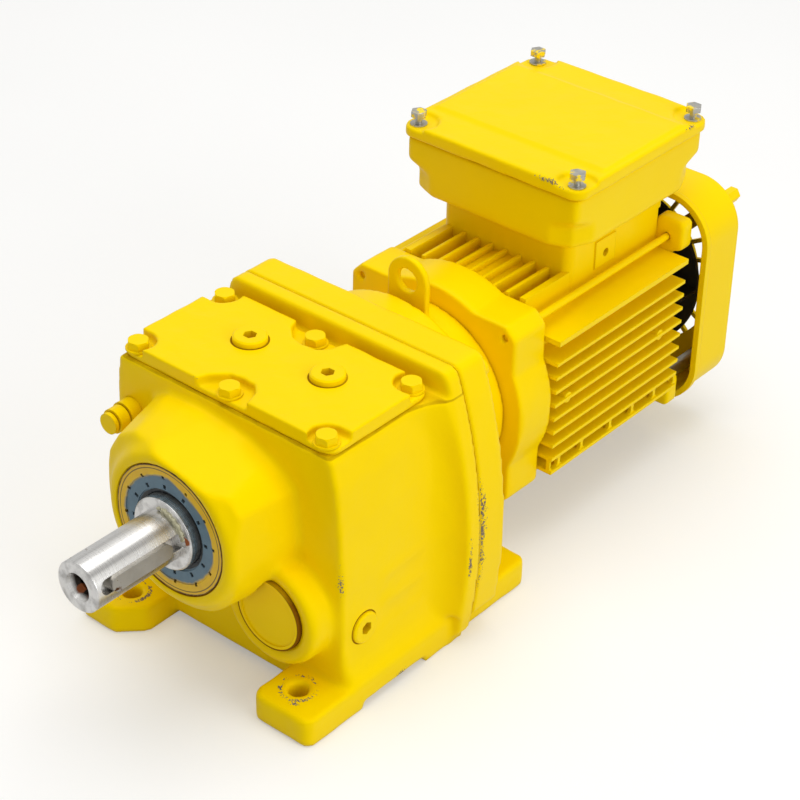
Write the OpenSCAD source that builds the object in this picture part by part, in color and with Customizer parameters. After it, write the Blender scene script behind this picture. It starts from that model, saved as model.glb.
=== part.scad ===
// Foot-mounted in-line gear motor: a two-stage spur gear unit driven by a finned motor.
// Z is up and the output shaft points along -Y. The origin is the middle of the foot bolt pattern.

/* [Output shaft] */
// Diameter of the output shaft end
shaft_d = 35; // [30:1:40]
// Length of the output shaft end
shaft_l = 70; // [60:1:85]
// Height of the output shaft axis over the feet
shaft_z = 127; // [125:0.5:132]
// Diameter of the seal and bearing seat behind the shaft end
seat_d = 50; // [48:1:52]
// Width of the shaft key
key_w = 10; // [8:1:12]
// Height of the shaft key
key_h = 8; // [6:1:9]
// Length of the shaft key
key_l = 50; // [40:1:54]
// Angle of the key above +X at rest
key_angle = 13; // [0:1:90]
// Thread core diameter of the centre hole
centre_d = 10.2; // [8.5:0.1:12]

/* [Gears] */
// Module of the first stage, motor side
module_1 = 1.5; // [1.48:0.01:1.52]
// Module of the second stage, output side
module_2 = 2.5; // [2.48:0.01:2.52]
// Teeth of the motor pinion
teeth_motor = 18; // [17:1:19]
// Teeth of the first-stage wheel
teeth_first = 72; // [70:1:72]
// Teeth of the second-stage pinion
teeth_second = 16; // [16:1:17]
// Teeth of the output wheel
teeth_output = 46; // [44:1:46]
// Face width of the output wheel
wheel_w = 30; // [24:1:32]
// Face width of the first-stage wheel
first_w = 14; // [10:1:15]
// Drop of the motor axis below the output axis
axis_drop = 14; // [13:0.5:15]

/* [Gear case] */
// Width of the case body
case_w = 190; // [188:1:196]
// Offset of the case body from the output axis
case_shift = -5; // [-8:1:-3]
// Height of the cover joint face
case_top = 190; // [188:1:194]
// Wall thickness of the case
wall = 7; // [5:0.5:8]
// Clearance between the first-stage wheel and the rear flange
wheel_room = 2; // [1.5:0.5:6]
// Width of the rear flange at its top
flange_top_w = 182; // [178:1:190]
// Height of the rear flange
flange_h = 206; // [200:1:212]
// Outer radius of the collar on the adapter
collar_r = 85; // [78:1:88]
// Radius of the neck of the adapter
neck_r = 66; // [62:1:70]
// Diameter of the hole in the lifting eye
eye_d = 17; // [12:0.5:18]

/* [Feet] */
// Foot hole spacing across
foot_x = 150; // [140:1:160]
// Foot hole spacing along
foot_y = 175; // [170:1:180]
// Foot hole diameter
foot_hole_d = 13.5; // [11:0.5:15]
// Overall width over the feet
foot_w = 206; // [200:1:214]
// Thickness of the feet
foot_t = 21; // [16:1:25]

/* [Cover] */
// Thickness of the cover at its bolts
cover_t = 4; // [4:0.5:8]
// Height of the raised plate above the bolt seats
cover_rise = 6; // [4:0.5:8]
// Inset of the cover bolts from the sides of the cover
cover_bolt_in = 9; // [8:0.5:12]
// Bolt spacing along
cover_bolt_y = 78.6; // [74:0.2:80]
// Thread diameter of the cover bolts
cover_bolt_d = 8; // [6:1:8]

/* [Motor] */
// Outer diameter of the drive-end shield
shield_d = 160; // [156:1:164]
// Metal from a tie rod's axis to the outside of its lug on the shield
lug_room = 9.3; // [8:0.1:11]
// Tie rod spacing, across and up
rod_pitch = 124.4; // [120:0.2:126]
// Tie rod diameter
rod_d = 5.2; // [4.5:0.1:6]
// Length of the stator housing
housing_l = 151; // [145:1:170]
// Width over the side fins
fin_span = 164; // [150:1:170]
// Height of the top fins above the motor axis
fin_top = 73; // [71:1:75]
// Pitch of the side fins
side_pitch = 11; // [10:0.5:12]
// Pitch of the top fins
top_pitch = 12.2; // [11:0.1:13]
// Thickness of a fin
fin_t = 2.6; // [2:0.1:3.5]
// Air gap between rotor and stator
air_gap = 0.5; // [0.3:0.1:0.8]
// Diameter of the rotor core
rotor_d = 76; // [70:1:80]
// Room from a tie rod's axis to the outside of the fan guard
guard_room = 21.8; // [20:0.1:24]
// Depth of the fan guard
guard_l = 43; // [38:1:50]
// Outer diameter of the fan
fan_d = 132; // [110:1:140]
// Number of fan blades
fan_blades = 9; // [6:1:12]

/* [Terminal box] */
// Width of the lid
lid_w = 154; // [148:1:158]
// Length of the lid
lid_l = 153; // [150:1:158]
// Thickness of the lid
lid_t = 10; // [8:0.5:12]
// Height of the box below the lid
box_h = 41; // [38:1:46]
// Corner cut of the lower box
box_cut = 22; // [12:1:24]

/* [Hidden] */
$fn = 48;

// Fits and clearances
seal_gap = 0.3;
backlash = 0.12;
ball_gap = 0.05;
bolt_gap = 0.5;
rod_gap = 0.4;

// Stations along Y, from the shaft end to the fan guard
y_shoulder = -128;
y_tip = y_shoulder - shaft_l;
y_boss = -123;
y_seal = -122;
seal_w = 10;
y_wall = -69;
y_inner = -62;
y_web = 6;
web_w = 19;
y_flange = 31;
y_room = 36;
y_seam = 43;
gasket_t = 0.5;
y_rear = 68;
y_collar = 95;
y_shield = 128;
shield_l = 35;
y_housing = y_shield + shield_l;
y_back = y_housing + housing_l;
back_l = 13;
guard_gap = 6;
y_guard = y_back + back_l + guard_gap;
y_grille = y_guard + guard_l;
foot_front = -110;
foot_rear = 117;

// Axes in the plane across Y
motor_z = shaft_z - axis_drop;
dist_1 = module_1 * (teeth_motor + teeth_first) / 2;
dist_2 = module_2 * (teeth_second + teeth_output) / 2;
mid_dz = (dist_1 * dist_1 - dist_2 * dist_2 - axis_drop * axis_drop) / (2 * axis_drop);
mid_x = sqrt(dist_2 * dist_2 - mid_dz * mid_dz);
mid_z = shaft_z + mid_dz;
flange_w = 2 * (mid_x + module_1 * (teeth_first + 2) / 2 + wheel_room + wall);
mesh_2 = atan2(mid_dz, mid_x);
mesh_1 = atan2(mid_z - motor_z, mid_x);

// Bearings as bore, outer diameter, width and ball diameter
brg_front = [seat_d, seat_d + 40, 20, 12.7];
brg_rear = [35, 72, 17, 11.1];
brg_mid = [20, 52, 15, 9.5];
brg_motor = [25, 52, 15, 7.9];
y_brg_front = y_seal + seal_w + 3.5;
y_brg_rear = y_web + 2;
y_cap = -87;
cap_w = 4;
y_brg_mid = y_cap + cap_w + 1;
y_brg_mid_rear = y_room + 18;
y_brg_motor = y_shield + 9;
y_brg_fan = y_back - 3;
shoulder_w = 3;

// Gear stations
y_wheel = -50;
y_pinion = y_wheel - 4;
pinion_w = wheel_w + 8;
y_first = y_room + 2;
y_motor_pinion = y_room + 1;
motor_pinion_w = first_w + 3;
wheel_bore = 48;
wheel_key_w = 12;
wheel_key_h = 8;
wheel_hub = wheel_bore + 20;
wheel_rim = module_2 * teeth_output - 15;
rear_journal = brg_rear[0];
first_bore = 25;
first_key_w = 8;
first_key_h = 7;
first_hub = first_bore + 17;
first_rim = module_1 * teeth_first - 16;
mid_d = 30;
rotor_seat = 34;
pinion_bore = 18;
fan_hub = 40;

// Case body and flange
case_l = case_shift - case_w / 2;
case_r = case_shift + case_w / 2;
base_z = 5;
cover_x = case_shift;
cover_w = 178;
cover_bolt_x = cover_w / 2 - cover_bolt_in;
cover_front = -67;
cover_rear = 25;
bolt_front = cover_front + 6.6;
cover_z = case_top + gasket_t;
cover_seat = cover_z + cover_t;
cover_top = cover_seat + cover_rise;
boss_r = 12;
plug_x = 33;
plug_y = -13;
breather_x = -84.5;
breather_z = 152;
level_y = -48.5;
level_z = 58;
level_out = 5.5;
hollow_r = 24;
nest_w = 88;
nest_gap = 0.3;

// Motor details
rod_h = rod_pitch / 2;
shield_sq = rod_pitch + 2 * lug_room;
guard_half = rod_h + guard_room;
core_r = 69;
bore_r = 64;
core_y = y_housing + 27;
core_l = 95;
ped_l = -58;
ped_r = 54;
earth_y = 250;
earth_z = 187;
box_x = -1.5;
ped_front = 209;
ped_rear = 322;
box_z = 215;
box_front = 188;
box_rear = box_front + lid_l - 6;
box_w = lid_w - 8;
box_mid = box_z + 24;
box_step = 7;
box_top = box_z + box_h;
lid_z = box_top + 1;
lid_top = lid_z + lid_t;
lid_front = box_front - 3;
lid_bolt_in = 9.5;
lid_seat = lid_top - 3;
lid_lift = 6;
nut_l = 24;
eye_z = 207;
eye_rim = 8;
head_t = 9;
plate_t = 4;
plate_z = motor_z + 50;
low_z = motor_z - 55;
low_fin = motor_z - 4 * side_pitch;
window_h = low_fin - low_z - fin_t;
window_in = 3;
window_posts = [0, 11, 37.5, 71.5, 98.5, 125.5, housing_l];
seal_r = brg_front[1] / 2;

joint_screws = [[-84, 188], [84, 188], [-50, 192], [50, 192], [-98, 112], [96, 132], [-96, 36]];

function inv(a) = tan(a) * 180 / PI - a;
function half_tooth(r, rb, z) = 90 / z - backlash * 90 / (PI * rb) + inv(20) - (r > rb ? inv(acos(rb / r)) : 0);
function tooth_r(m, z, k) = let(tip = m * (z + 2) / 2, root = m * (z - 2.5) / 2) root + (tip - root) * k / 4;
function arc(cx, cy, r, a0, a1, n) = [for (i = [0 : n]) [cx + r * cos(a0 + (a1 - a0) * i / n), cy + r * sin(a0 + (a1 - a0) * i / n)]];

// Draws a flat profile in the X-Z plane and carries it from y0 to y1
module along_y(y0, y1) {
    translate([0, y1, 0]) rotate([90, 0, 0]) linear_extrude(y1 - y0) children();
}

module rod_y(x, z, y0, y1, d) {
    translate([x, y1, z]) rotate([90, 0, 0]) cylinder(h = y1 - y0, d = d);
}

module cone_y(x, z, y0, y1, d0, d1) {
    translate([x, y0, z]) rotate([-90, 0, 0]) cylinder(h = y1 - y0, d1 = d0, d2 = d1);
}

module ring_y(x, z, y0, y1, d_out, d_in) {
    difference() {
        rod_y(x, z, y0, y1, d_out);
        rod_y(x, z, y0 - 1, y1 + 1, d_in);
    }
}

// Turned body about an axis along +Y, profile drawn as radius and distance from y
module turn_y(x, z, y) {
    translate([x, y, z]) rotate([-90, 0, 0]) rotate_extrude() children();
}

module box_at(x0, x1, y0, y1, z0, z1) {
    translate([x0, y0, z0]) cube([x1 - x0, y1 - y0, z1 - z0]);
}

module round_rect(x0, x1, y0, y1, r) {
    translate([x0 + r, y0]) square([x1 - x0 - 2 * r, y1 - y0]);
    translate([x0, y0 + r]) square([x1 - x0, y1 - y0 - 2 * r]);
    for (x = [x0 + r, x1 - r]) for (y = [y0 + r, y1 - r]) translate([x, y]) circle(r);
}

// Spur gear outline with true involute flanks, one tooth centred on the X axis
module gear_2d(m, z) {
    rb = m * z * cos(20) / 2;
    polygon([for (i = [0 : z - 1]) for (s = [-1, 1]) for (k = [0 : 4])
        let(q = s < 0 ? k : 4 - k, r = tooth_r(m, z, q), a = 360 * i / z + s * half_tooth(r, rb, z))
        [r * cos(a), r * sin(a)]]);
}

module gear_y(x, z, y0, y1, m, teeth, phase, bore) {
    along_y(y0, y1) translate([x, z]) difference() {
        rotate(phase) gear_2d(m, teeth);
        circle(d = bore);
    }
}

function pitch_d(b) = (b[0] + b[1]) / 2;

module outer_ring(x, z, y, b) {
    translate([x, y + b[2], z]) rotate([90, 0, 0]) rotate_extrude() difference() {
        translate([pitch_d(b) / 2 + b[3] * 0.28, 0]) square([b[1] / 2 - pitch_d(b) / 2 - b[3] * 0.28, b[2]]);
        translate([pitch_d(b) / 2, b[2] / 2]) circle(b[3] / 2 + ball_gap);
    }
}

module inner_ring(x, z, y, b) {
    translate([x, y + b[2], z]) rotate([90, 0, 0]) rotate_extrude() difference() {
        translate([b[0] / 2, 0]) square([pitch_d(b) / 2 - b[3] * 0.28 - b[0] / 2, b[2]]);
        translate([pitch_d(b) / 2, b[2] / 2]) circle(b[3] / 2 + ball_gap);
    }
}

// Balls and the ring cage that spaces them
module ball_set(x, z, y, b, n) {
    translate([x, y + b[2] / 2, z]) rotate([90, 0, 0]) {
        for (i = [0 : n - 1]) rotate(360 * i / n) translate([pitch_d(b) / 2, 0, 0]) sphere(d = b[3]);
        rotate_extrude() translate([pitch_d(b) / 2 - b[3] * 0.12, -b[3] * 0.3]) square([b[3] * 0.24, b[3] * 0.6]);
    }
}

// Hexagon head or nut with its axis on local Z
module hex(af, h) {
    cylinder(h = h, d = af / cos(30), $fn = 6);
}

// Parallel key lying in local X-Y, flat side up, length along Y
module key_solid(w, h, l) {
    translate([0, 0, -h / 2]) linear_extrude(h) {
        translate([-w / 2, w / 2]) square([w, l - w]);
        translate([0, w / 2]) circle(d = w);
        translate([0, l - w / 2]) circle(d = w);
    }
}

// Key that stands out of a shaft at angle a above +X
module shaft_key(x, z, y, r, w, h, l, a, grow = 0) {
    translate([x, y, z]) rotate([0, -a, 0]) translate([r - h * 0.625 + h / 2, -grow, 0]) rotate([0, 90, 0])
        key_solid(w, h, l + 2 * grow);
}

// Slot through a hub over its key, upwards from the bore
module hub_slot(x, z, y, r, w, h, l) {
    box_at(x - w / 2, x + w / 2, y - 1, y + l + 1, z + r - h / 2, z + r + h * 0.375 + 0.2);
}

// Barrel outline of the rear flange, drawn in X-Z, inset by a wall
module flange_2d(inset) {
    rise = flange_h - 78;
    side = (flange_w - flange_top_w) / 2;
    r = (rise * rise + side * side) / (2 * side);
    offset(r = 8) offset(delta = -8 - inset) intersection() {
        translate([flange_w / 2 - r, 78]) circle(r, $fn = 360);
        translate([r - flange_w / 2, 78]) circle(r, $fn = 360);
        translate([-flange_w, base_z]) square([2 * flange_w, flange_h - base_z]);
        polygon([[-flange_w, 300], [flange_w, 300], [flange_w, 60], [foot_w / 2, base_z], [-foot_w / 2, base_z], [-flange_w, 60]]);
    }
}

// Cross section of the case body with its draft and the skirt down to the feet
module case_2d() {
    offset(r = 3) offset(delta = -3) polygon([
        [case_l, 40], [case_l - 3, 25], [-foot_w / 2, 20], [-foot_w / 2, base_z], [foot_w / 2, base_z],
        [foot_w / 2, 20], [case_r + 7, 30], [case_r + 5, 45], [case_r + 5, 95], [case_r + 3, 140], [case_r, 168],
        [case_r - 5, case_top], [case_l + 5, case_top], [case_l + 1, 168], [case_l, 140]
    ]);
}

// Flare of both side walls down to the feet
module flare_2d() {
    polygon([
        [foot_w / 2 - 0.4, foot_t - 2], [foot_w / 2 - 0.4, foot_t], [case_r + 9.5, foot_t + 5], [case_r + 7, foot_t + 13],
        [case_r + 5.2, foot_t + 28], [case_r - 10, foot_t + 28], [case_r - 10, foot_t - 2]
    ]);
    polygon([
        [0.4 - foot_w / 2, foot_t - 2], [0.4 - foot_w / 2, foot_t], [case_l - 1.2, foot_t + 10],
        [case_l - 0.2, foot_t + 28], [case_l + 15, foot_t + 28], [case_l + 15, foot_t - 2]
    ]);
}

// Outline of the output boss seen along the shaft
module boss_2d() {
    polygon(concat([
        [-62, shaft_z], [-61, shaft_z + 22], [-50, shaft_z + 41], [-34, shaft_z + 51], [-18, shaft_z + 53],
        [10, shaft_z + 47], [45, shaft_z + 38.5], [52, shaft_z + 29]
    ], arc(-4, shaft_z - 4, 58, 0, -180, 24)));
}

// Outline of the output boss where it meets the front wall
module boss_root_2d() {
    polygon(concat([
        [-68, shaft_z], [-68, shaft_z + 28], [-62, shaft_z + 46], [-50, shaft_z + 54], [-30, shaft_z + 56],
        [-6, shaft_z + 55], [18, shaft_z + 51], [36, shaft_z + 45], [46, shaft_z + 38.5], [56, shaft_z + 28]
    ], arc(-4, shaft_z - 4, 64, 0, -180, 24)));
}

// Plan of the feet and the side strips
module feet_2d() {
    offset(r = 7) offset(delta = -7) difference() {
        polygon([
            [-foot_w / 2, foot_front], [foot_w / 2, foot_front], [foot_w / 2, 42], [foot_w / 2 - 3.5, 50],
            [foot_w / 2 - 3.5, foot_rear], [3.5 - foot_w / 2, foot_rear], [3.5 - foot_w / 2, 50], [-foot_w / 2, 42]
        ]);
        translate([-55, foot_front - 10]) square([110, -foot_front - 50]);
        polygon([[-72, foot_front - 1], [-50, foot_front - 1], [-50, foot_front + 21]]);
        translate([-55, y_rear - 5]) square([110, 100]);
    }
}

module feet_holes() {
    for (x = [-1, 1]) for (y = [-1, 1])
        translate([x * foot_x / 2, y * foot_y / 2, -1]) cylinder(h = foot_t + 2, d = foot_hole_d);
}

module cover_bolt_places() {
    for (i = [-1, 0, 1]) for (j = [0, 1])
        translate([cover_x - 0.5 + i * cover_bolt_x, bolt_front + j * cover_bolt_y, 0]) children();
}

// Inside of the flange, clear of the bosses for the adapter screws and of the feet
module room_2d() {
    difference() {
        flange_2d(wall);
        for (p = joint_screws) translate(p) circle(8);
        for (s = [0, 1]) mirror([s, 0]) polygon([
            [nest_w - wall, 0], [nest_w - wall, foot_t - 2], [nest_w + wall, foot_t + wall + 2], [flange_w, foot_t + wall + 2],
            [flange_w, 0]
        ]);
    }
}

// Space between and above the rear feet that the adapter fills
module nest_2d(g) {
    polygon([
        [-nest_w - g, base_z], [nest_w + g, base_z], [nest_w + g, foot_t - 6], [nest_w + 8 + g, foot_t],
        [flange_w, foot_t], [flange_w, 2 * flange_h], [-flange_w, 2 * flange_h], [-flange_w, foot_t],
        [-nest_w - 8 - g, foot_t], [-nest_w - g, foot_t - 6]
    ]);
}

module case_outside() {
    // body with rounded vertical edges
    intersection() {
        along_y(y_wall, y_flange + 5) case_2d();
        translate([0, 0, -1]) linear_extrude(flange_h) round_rect(-foot_w, foot_w, y_wall, y_flange + 30, 4);
        translate([0, 0, -1]) linear_extrude(flange_h)
            round_rect(case_l - 2, case_r + 9, y_wall, y_flange + 30, 7);
    }
    // joint face that carries the cover
    translate([0, 0, case_top - 14]) linear_extrude(14)
        round_rect(cover_x - cover_w / 2, cover_x + cover_w / 2, cover_front, y_flange + 3, 9);
    // output boss, drafted towards the wall and turned at its rim
    intersection() {
        hull() {
            along_y(y_boss, y_boss + 10) boss_2d();
            along_y(y_wall, y_wall + 1) boss_root_2d();
        }
        turn_y(0, shaft_z, y_boss) polygon([
            [0, 0], [seal_r + 3, 0], [seal_r + 6, 0.7], [seal_r + 8.5, 2.5], [seal_r + 10.5, 5.5], [seal_r + 13, 8],
            [seal_r + 18, 10], [seal_r + 28, 12], [seal_r + 60, 16], [seal_r + 60, 60], [0, 60]
        ]);
    }
    // intermediate bore boss with a rolled rim
    rod_y(mid_x, mid_z, y_cap + 4, y_wall + 4, brg_mid[1] + 24);
    translate([mid_x, y_cap + 4, mid_z]) rotate([90, 0, 0]) rotate_extrude()
        translate([brg_mid[1] / 2 + 7, 0]) circle(5);
    rod_y(mid_x, mid_z, y_cap, y_cap + 6, brg_mid[1] + 14);
    // feet, and the flare of the walls down to them
    linear_extrude(foot_t) feet_2d();
    intersection() {
        along_y(y_wall + 0.2, y_flange + 4) flare_2d();
        linear_extrude(case_top) round_rect(-foot_w / 2, foot_w / 2, y_wall + 0.2, y_flange + 30, 12);
    }
    // rear flange, front half of the joint
    along_y(y_flange, y_seam) flange_2d(0);
    // hollow corner that runs from the side wall out to the flange, leaning with the wall
    for (s = [0, 1]) mirror([s, 0, 0]) translate([s * -2 * case_shift, 0, 0]) difference() {
        intersection() {
            translate([s * 2 * case_shift, 0, 0]) along_y(y_flange - 24, y_flange + 4) flange_2d(1);
            box_at(case_r - 12, flange_w, y_flange - 24, y_flange + 4, 26, case_top);
        }
        translate([case_r + 5 + hollow_r, y_flange - hollow_r, -1]) cylinder(h = 97, r = hollow_r);
        translate([case_r + 5 + hollow_r, y_flange - hollow_r, 95]) rotate([0, -5, 0]) cylinder(h = 120, r = hollow_r);
    }
    // shallow cast ribs on both side walls
    for (z = [47, 67, 88]) for (x = [case_r - 9, case_l + 12.5]) translate([x, 0, z]) {
        translate([0, y_flange - 24, 0]) rotate([90, 0, 0]) cylinder(h = 34, r = 15);
        translate([0, y_flange - 58, 0]) sphere(r = 15);
        translate([0, y_flange - 24, 0]) sphere(r = 15);
    }
    // boss of the level plug
    translate([case_r - 6, level_y, level_z]) rotate([0, 90, 0]) cylinder(h = level_out + 6, d = 25);
}

module case_cavity() {
    difference() {
        union() {
            // front room for the second stage
            along_y(y_inner, y_web) offset(r = 6) offset(delta = -6 - wall) case_2d();
            // rear room for the first stage
            along_y(y_web + web_w, y_room + 2) offset(r = 6) offset(delta = -6 - wall) case_2d();
            along_y(y_room, y_seam + 1) room_2d();
            // opening under the cover
            translate([0, 0, case_top - 30]) linear_extrude(31)
                round_rect(cover_x - cover_w / 2 + 22, cover_x + cover_w / 2 - 22, y_inner, y_web + 2, 8);
        }
        // bolt bosses that hang from the joint face
        cover_bolt_places() translate([0, 0, case_top - 26]) cylinder(h = 26, r = boss_r - 3);
        // floor kept solid under the skirt
        box_at(-flange_w, flange_w, y_wall, y_seam + 2, 0, base_z + wall - 1);
    }
}

module gear_case() {
    color("gold") difference() {
        union() {
            difference() {
                case_outside();
                case_cavity();
            }
            // hubs of the bearings inside the case
            rod_y(0, shaft_z, y_wall - 20, y_inner + 2, seal_r * 2 + 12);
            rod_y(0, shaft_z, y_web - 3, y_web + web_w, brg_rear[1] + 14);
            rod_y(mid_x, mid_z, y_wall - 4, y_inner - 1, brg_mid[1] + 12);
        }
        // output bore: seal, ring groove and front bearing
        rod_y(0, shaft_z, y_boss - 1, y_brg_front + brg_front[2], seal_r * 2);
        cone_y(0, shaft_z, y_boss - 0.01, y_boss + 1, seal_r * 2 + 2, seal_r * 2);
        rod_y(0, shaft_z, y_seal + seal_w + 0.5, y_brg_front, seal_r * 2 + 4);
        rod_y(0, shaft_z, y_boss, y_inner + 4, seal_r * 2 - 8);
        // rear output bearing
        rod_y(0, shaft_z, y_brg_rear, y_web + web_w + 1, brg_rear[1]);
        rod_y(0, shaft_z, y_web - 4, y_web + web_w + 1, brg_rear[1] - 8);
        // intermediate bore and the passage of its shaft
        rod_y(mid_x, mid_z, y_cap - 6, y_brg_mid + brg_mid[2], brg_mid[1]);
        rod_y(mid_x, mid_z, y_cap - 1, y_inner + 4, brg_mid[1] - 6);
        rod_y(mid_x, mid_z, y_web - 5, y_web + web_w + 5, mid_d + 10);
        // threads of the cover bolts, foot holes and pads
        cover_bolt_places() translate([0, 0, case_top - 20]) cylinder(h = 21, d = cover_bolt_d);
        feet_holes();
        box_at(-foot_w, foot_w, foot_front + 54, 5, -1, base_z);
        box_at(-55, 55, foot_front - 1, foot_rear + 1, -1, base_z);
        // level plug, breather and adapter screw threads
        translate([case_r - 20, level_y, level_z]) rotate([0, 90, 0]) cylinder(h = 40, d = 16);
        rod_y(breather_x, breather_z, y_wall - 10, y_inner + 1, 12);
        adapter_screw_places() rod_y(0, 0, y_flange + 3, y_seam + 1, 8);
        // room behind the feet for the adapter
        along_y(y_seam, y_rear + 0.5) nest_2d(nest_gap);
        box_at(-flange_w, flange_w, y_seam, foot_rear + 1, foot_t, flange_h + 1);
    }
}

module adapter_screw_places() {
    for (p = joint_screws) translate([p[0], 0, p[1]]) children();
}

// Rounded notch round a cover bolt, open towards the edge of the cover
module cover_notches() {
    for (i = [-1, 1]) for (j = [0, 1])
        translate([cover_x - 0.5 + i * cover_bolt_x, bolt_front + j * cover_bolt_y])
            mirror([i > 0 ? 1 : 0, 0]) mirror([0, j]) union() {
                translate([-40, -40]) square([42, 52]);
                translate([-40, -40]) square([50, 44]);
                circle(11.8);
            }
    for (j = [0, 1]) translate([cover_x - 0.5, bolt_front + j * cover_bolt_y]) mirror([0, j]) union() {
        circle(12.5);
        polygon([[-24, -12], [-19, 1], [-9, 11], [10, 12], [17, 5], [22, -12]]);
    }
}

module top_cover() {
    color("yellow") difference() {
        union() {
            translate([0, 0, cover_z]) linear_extrude(cover_t)
                round_rect(cover_x - cover_w / 2, cover_x + cover_w / 2, cover_front, cover_rear, 8);
            translate([0, 0, cover_seat - 1]) linear_extrude(cover_rise + 1) difference() {
                round_rect(cover_x - cover_w / 2, cover_x + cover_w / 2, cover_front, cover_rear, 8);
                cover_notches();
            }
        }
        // pocket over the output wheel
        translate([0, 0, cover_z - 1]) linear_extrude(cover_t + 1)
            round_rect(cover_x - cover_bolt_x + 12, cover_x + cover_bolt_x - 12, bolt_front + 14, bolt_front + cover_bolt_y - 14, 8);
        cover_bolt_places() translate([0, 0, cover_z - 1]) cylinder(h = 20, d = cover_bolt_d + bolt_gap * 2);
        for (s = [-1, 1]) translate([s * plug_x, plug_y, cover_z]) cylinder(h = 20, d = 16);
    }
}

module cover_gasket() {
    color("dimgray") translate([0, 0, case_top]) linear_extrude(gasket_t) difference() {
        round_rect(cover_x - cover_w / 2 + 1, cover_x + cover_w / 2 - 1, cover_front + 1, cover_rear - 1, 8);
        round_rect(cover_x - 66, cover_x + 66, y_inner, y_web + 2, 8);
        for (i = [-1, 0, 1]) for (j = [0, 1])
            translate([cover_x - 0.5 + i * cover_bolt_x, bolt_front + j * cover_bolt_y])
                circle(d = cover_bolt_d + bolt_gap * 2);
    }
}

module flange_bolt(d, af, washer, head, l) {
    translate([0, 0, -l]) cylinder(h = l + 0.5, d = d - 0.4);
    cylinder(h = 1.2, d = washer);
    intersection() {
        translate([0, 0, 1]) hex(af, head);
        cylinder(h = head + 1, d1 = af * 1.6, d2 = af * 1.02);
    }
}

module cover_bolts() {
    color("khaki") cover_bolt_places() translate([0, 0, cover_seat])
        rotate(15) flange_bolt(cover_bolt_d, cover_bolt_d + 5, cover_bolt_d * 2 + 1, cover_bolt_d * 0.7, cover_t + 16);
}

// Screw plug with collar and hexagon socket, axis on local Z, seat at z = 0
module screw_plug(d, collar, l, rim) {
    difference() {
        union() {
            translate([0, 0, -l]) cylinder(h = l + 1, d = d - 0.4);
            cylinder(h = rim - 1, d = collar);
            translate([0, 0, rim - 1.01]) cylinder(h = 1.01, d1 = collar, d2 = collar - 2.5);
        }
        translate([0, 0, -3]) hex(8, rim + 4);
    }
}

module filler_plugs() {
    color("khaki") for (s = [-1, 1]) translate([s * plug_x, plug_y, cover_top]) screw_plug(16, 23, cover_rise, 4);
}

module level_plug() {
    color("khaki") translate([case_r + level_out, level_y, level_z]) rotate([0, 90, 0]) screw_plug(16, 22, 14, 2.2);
}

module breather() {
    color("khaki") {
        rod_y(breather_x, breather_z, y_wall - 0.5, y_wall + 7, 11.6);
        rod_y(breather_x, breather_z, y_wall - 9, y_wall, 19);
        rod_y(breather_x, breather_z, y_wall - 11, y_wall - 8, 13);
        rod_y(breather_x, breather_z, y_wall - 18, y_wall - 10, 17);
        rod_y(breather_x, breather_z, y_wall - 20, y_wall - 17, 11);
        rod_y(breather_x, breather_z, y_wall - 22, y_wall - 19, 14.5);
    }
}

module intermediate_cap() {
    color("gold") difference() {
        rod_y(mid_x, mid_z, y_cap - 2, y_cap + cap_w, brg_mid[1]);
        rod_y(mid_x, mid_z, y_cap - 3, y_cap - 1, brg_mid[1] - 6);
    }
}

// Shaft seal with a ring of slots in its face and a row of notches round the band
module output_seal() {
    color("slategray") difference() {
        turn_y(0, shaft_z, y_seal) polygon([
            [seat_d / 2 + seal_gap, 2.5], [seat_d / 2 + 3.5, 1.5], [seat_d / 2 + 3.5, 0.5], [seal_r - 7.5, 0.5],
            [seal_r - 7.5, 0], [seal_r, 0], [seal_r, seal_w], [seat_d / 2 + 6, seal_w], [seat_d / 2 + 6, 6],
            [seat_d / 2 + seal_gap, 6]
        ]);
        for (i = [0 : 11]) translate([0, y_seal, shaft_z]) rotate([0, i * 30 - 5, 0]) {
            translate([seal_r - 15.5, -1, -1.2]) cube([3, 2.5, 2.4]);
            translate([seal_r - 8.5, -1, -1]) cube([2.5, 2.2, 2]);
        }
    }
}

// Spring ring that holds the front bearing in its bore
module bore_ring() {
    color("silver") difference() {
        ring_y(0, shaft_z, y_seal + seal_w + 0.5, y_brg_front, seal_r * 2 + 4, seal_r * 2 - 10);
        box_at(-6, 6, y_seal, y_brg_front + 1, shaft_z + 30, shaft_z + 60);
    }
}

module output_outer_rings() {
    color("lightsteelblue") {
        outer_ring(0, shaft_z, y_brg_front, brg_front);
        outer_ring(0, shaft_z, y_brg_rear, brg_rear);
    }
}

module intermediate_outer_rings() {
    color("lightsteelblue") {
        outer_ring(mid_x, mid_z, y_brg_mid, brg_mid);
        outer_ring(mid_x, mid_z, y_brg_mid_rear, brg_mid);
    }
}

module motor_outer_rings() {
    color("lightsteelblue") {
        outer_ring(0, motor_z, y_brg_motor, brg_motor);
        outer_ring(0, motor_z, y_brg_fan, brg_motor);
    }
}

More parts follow.
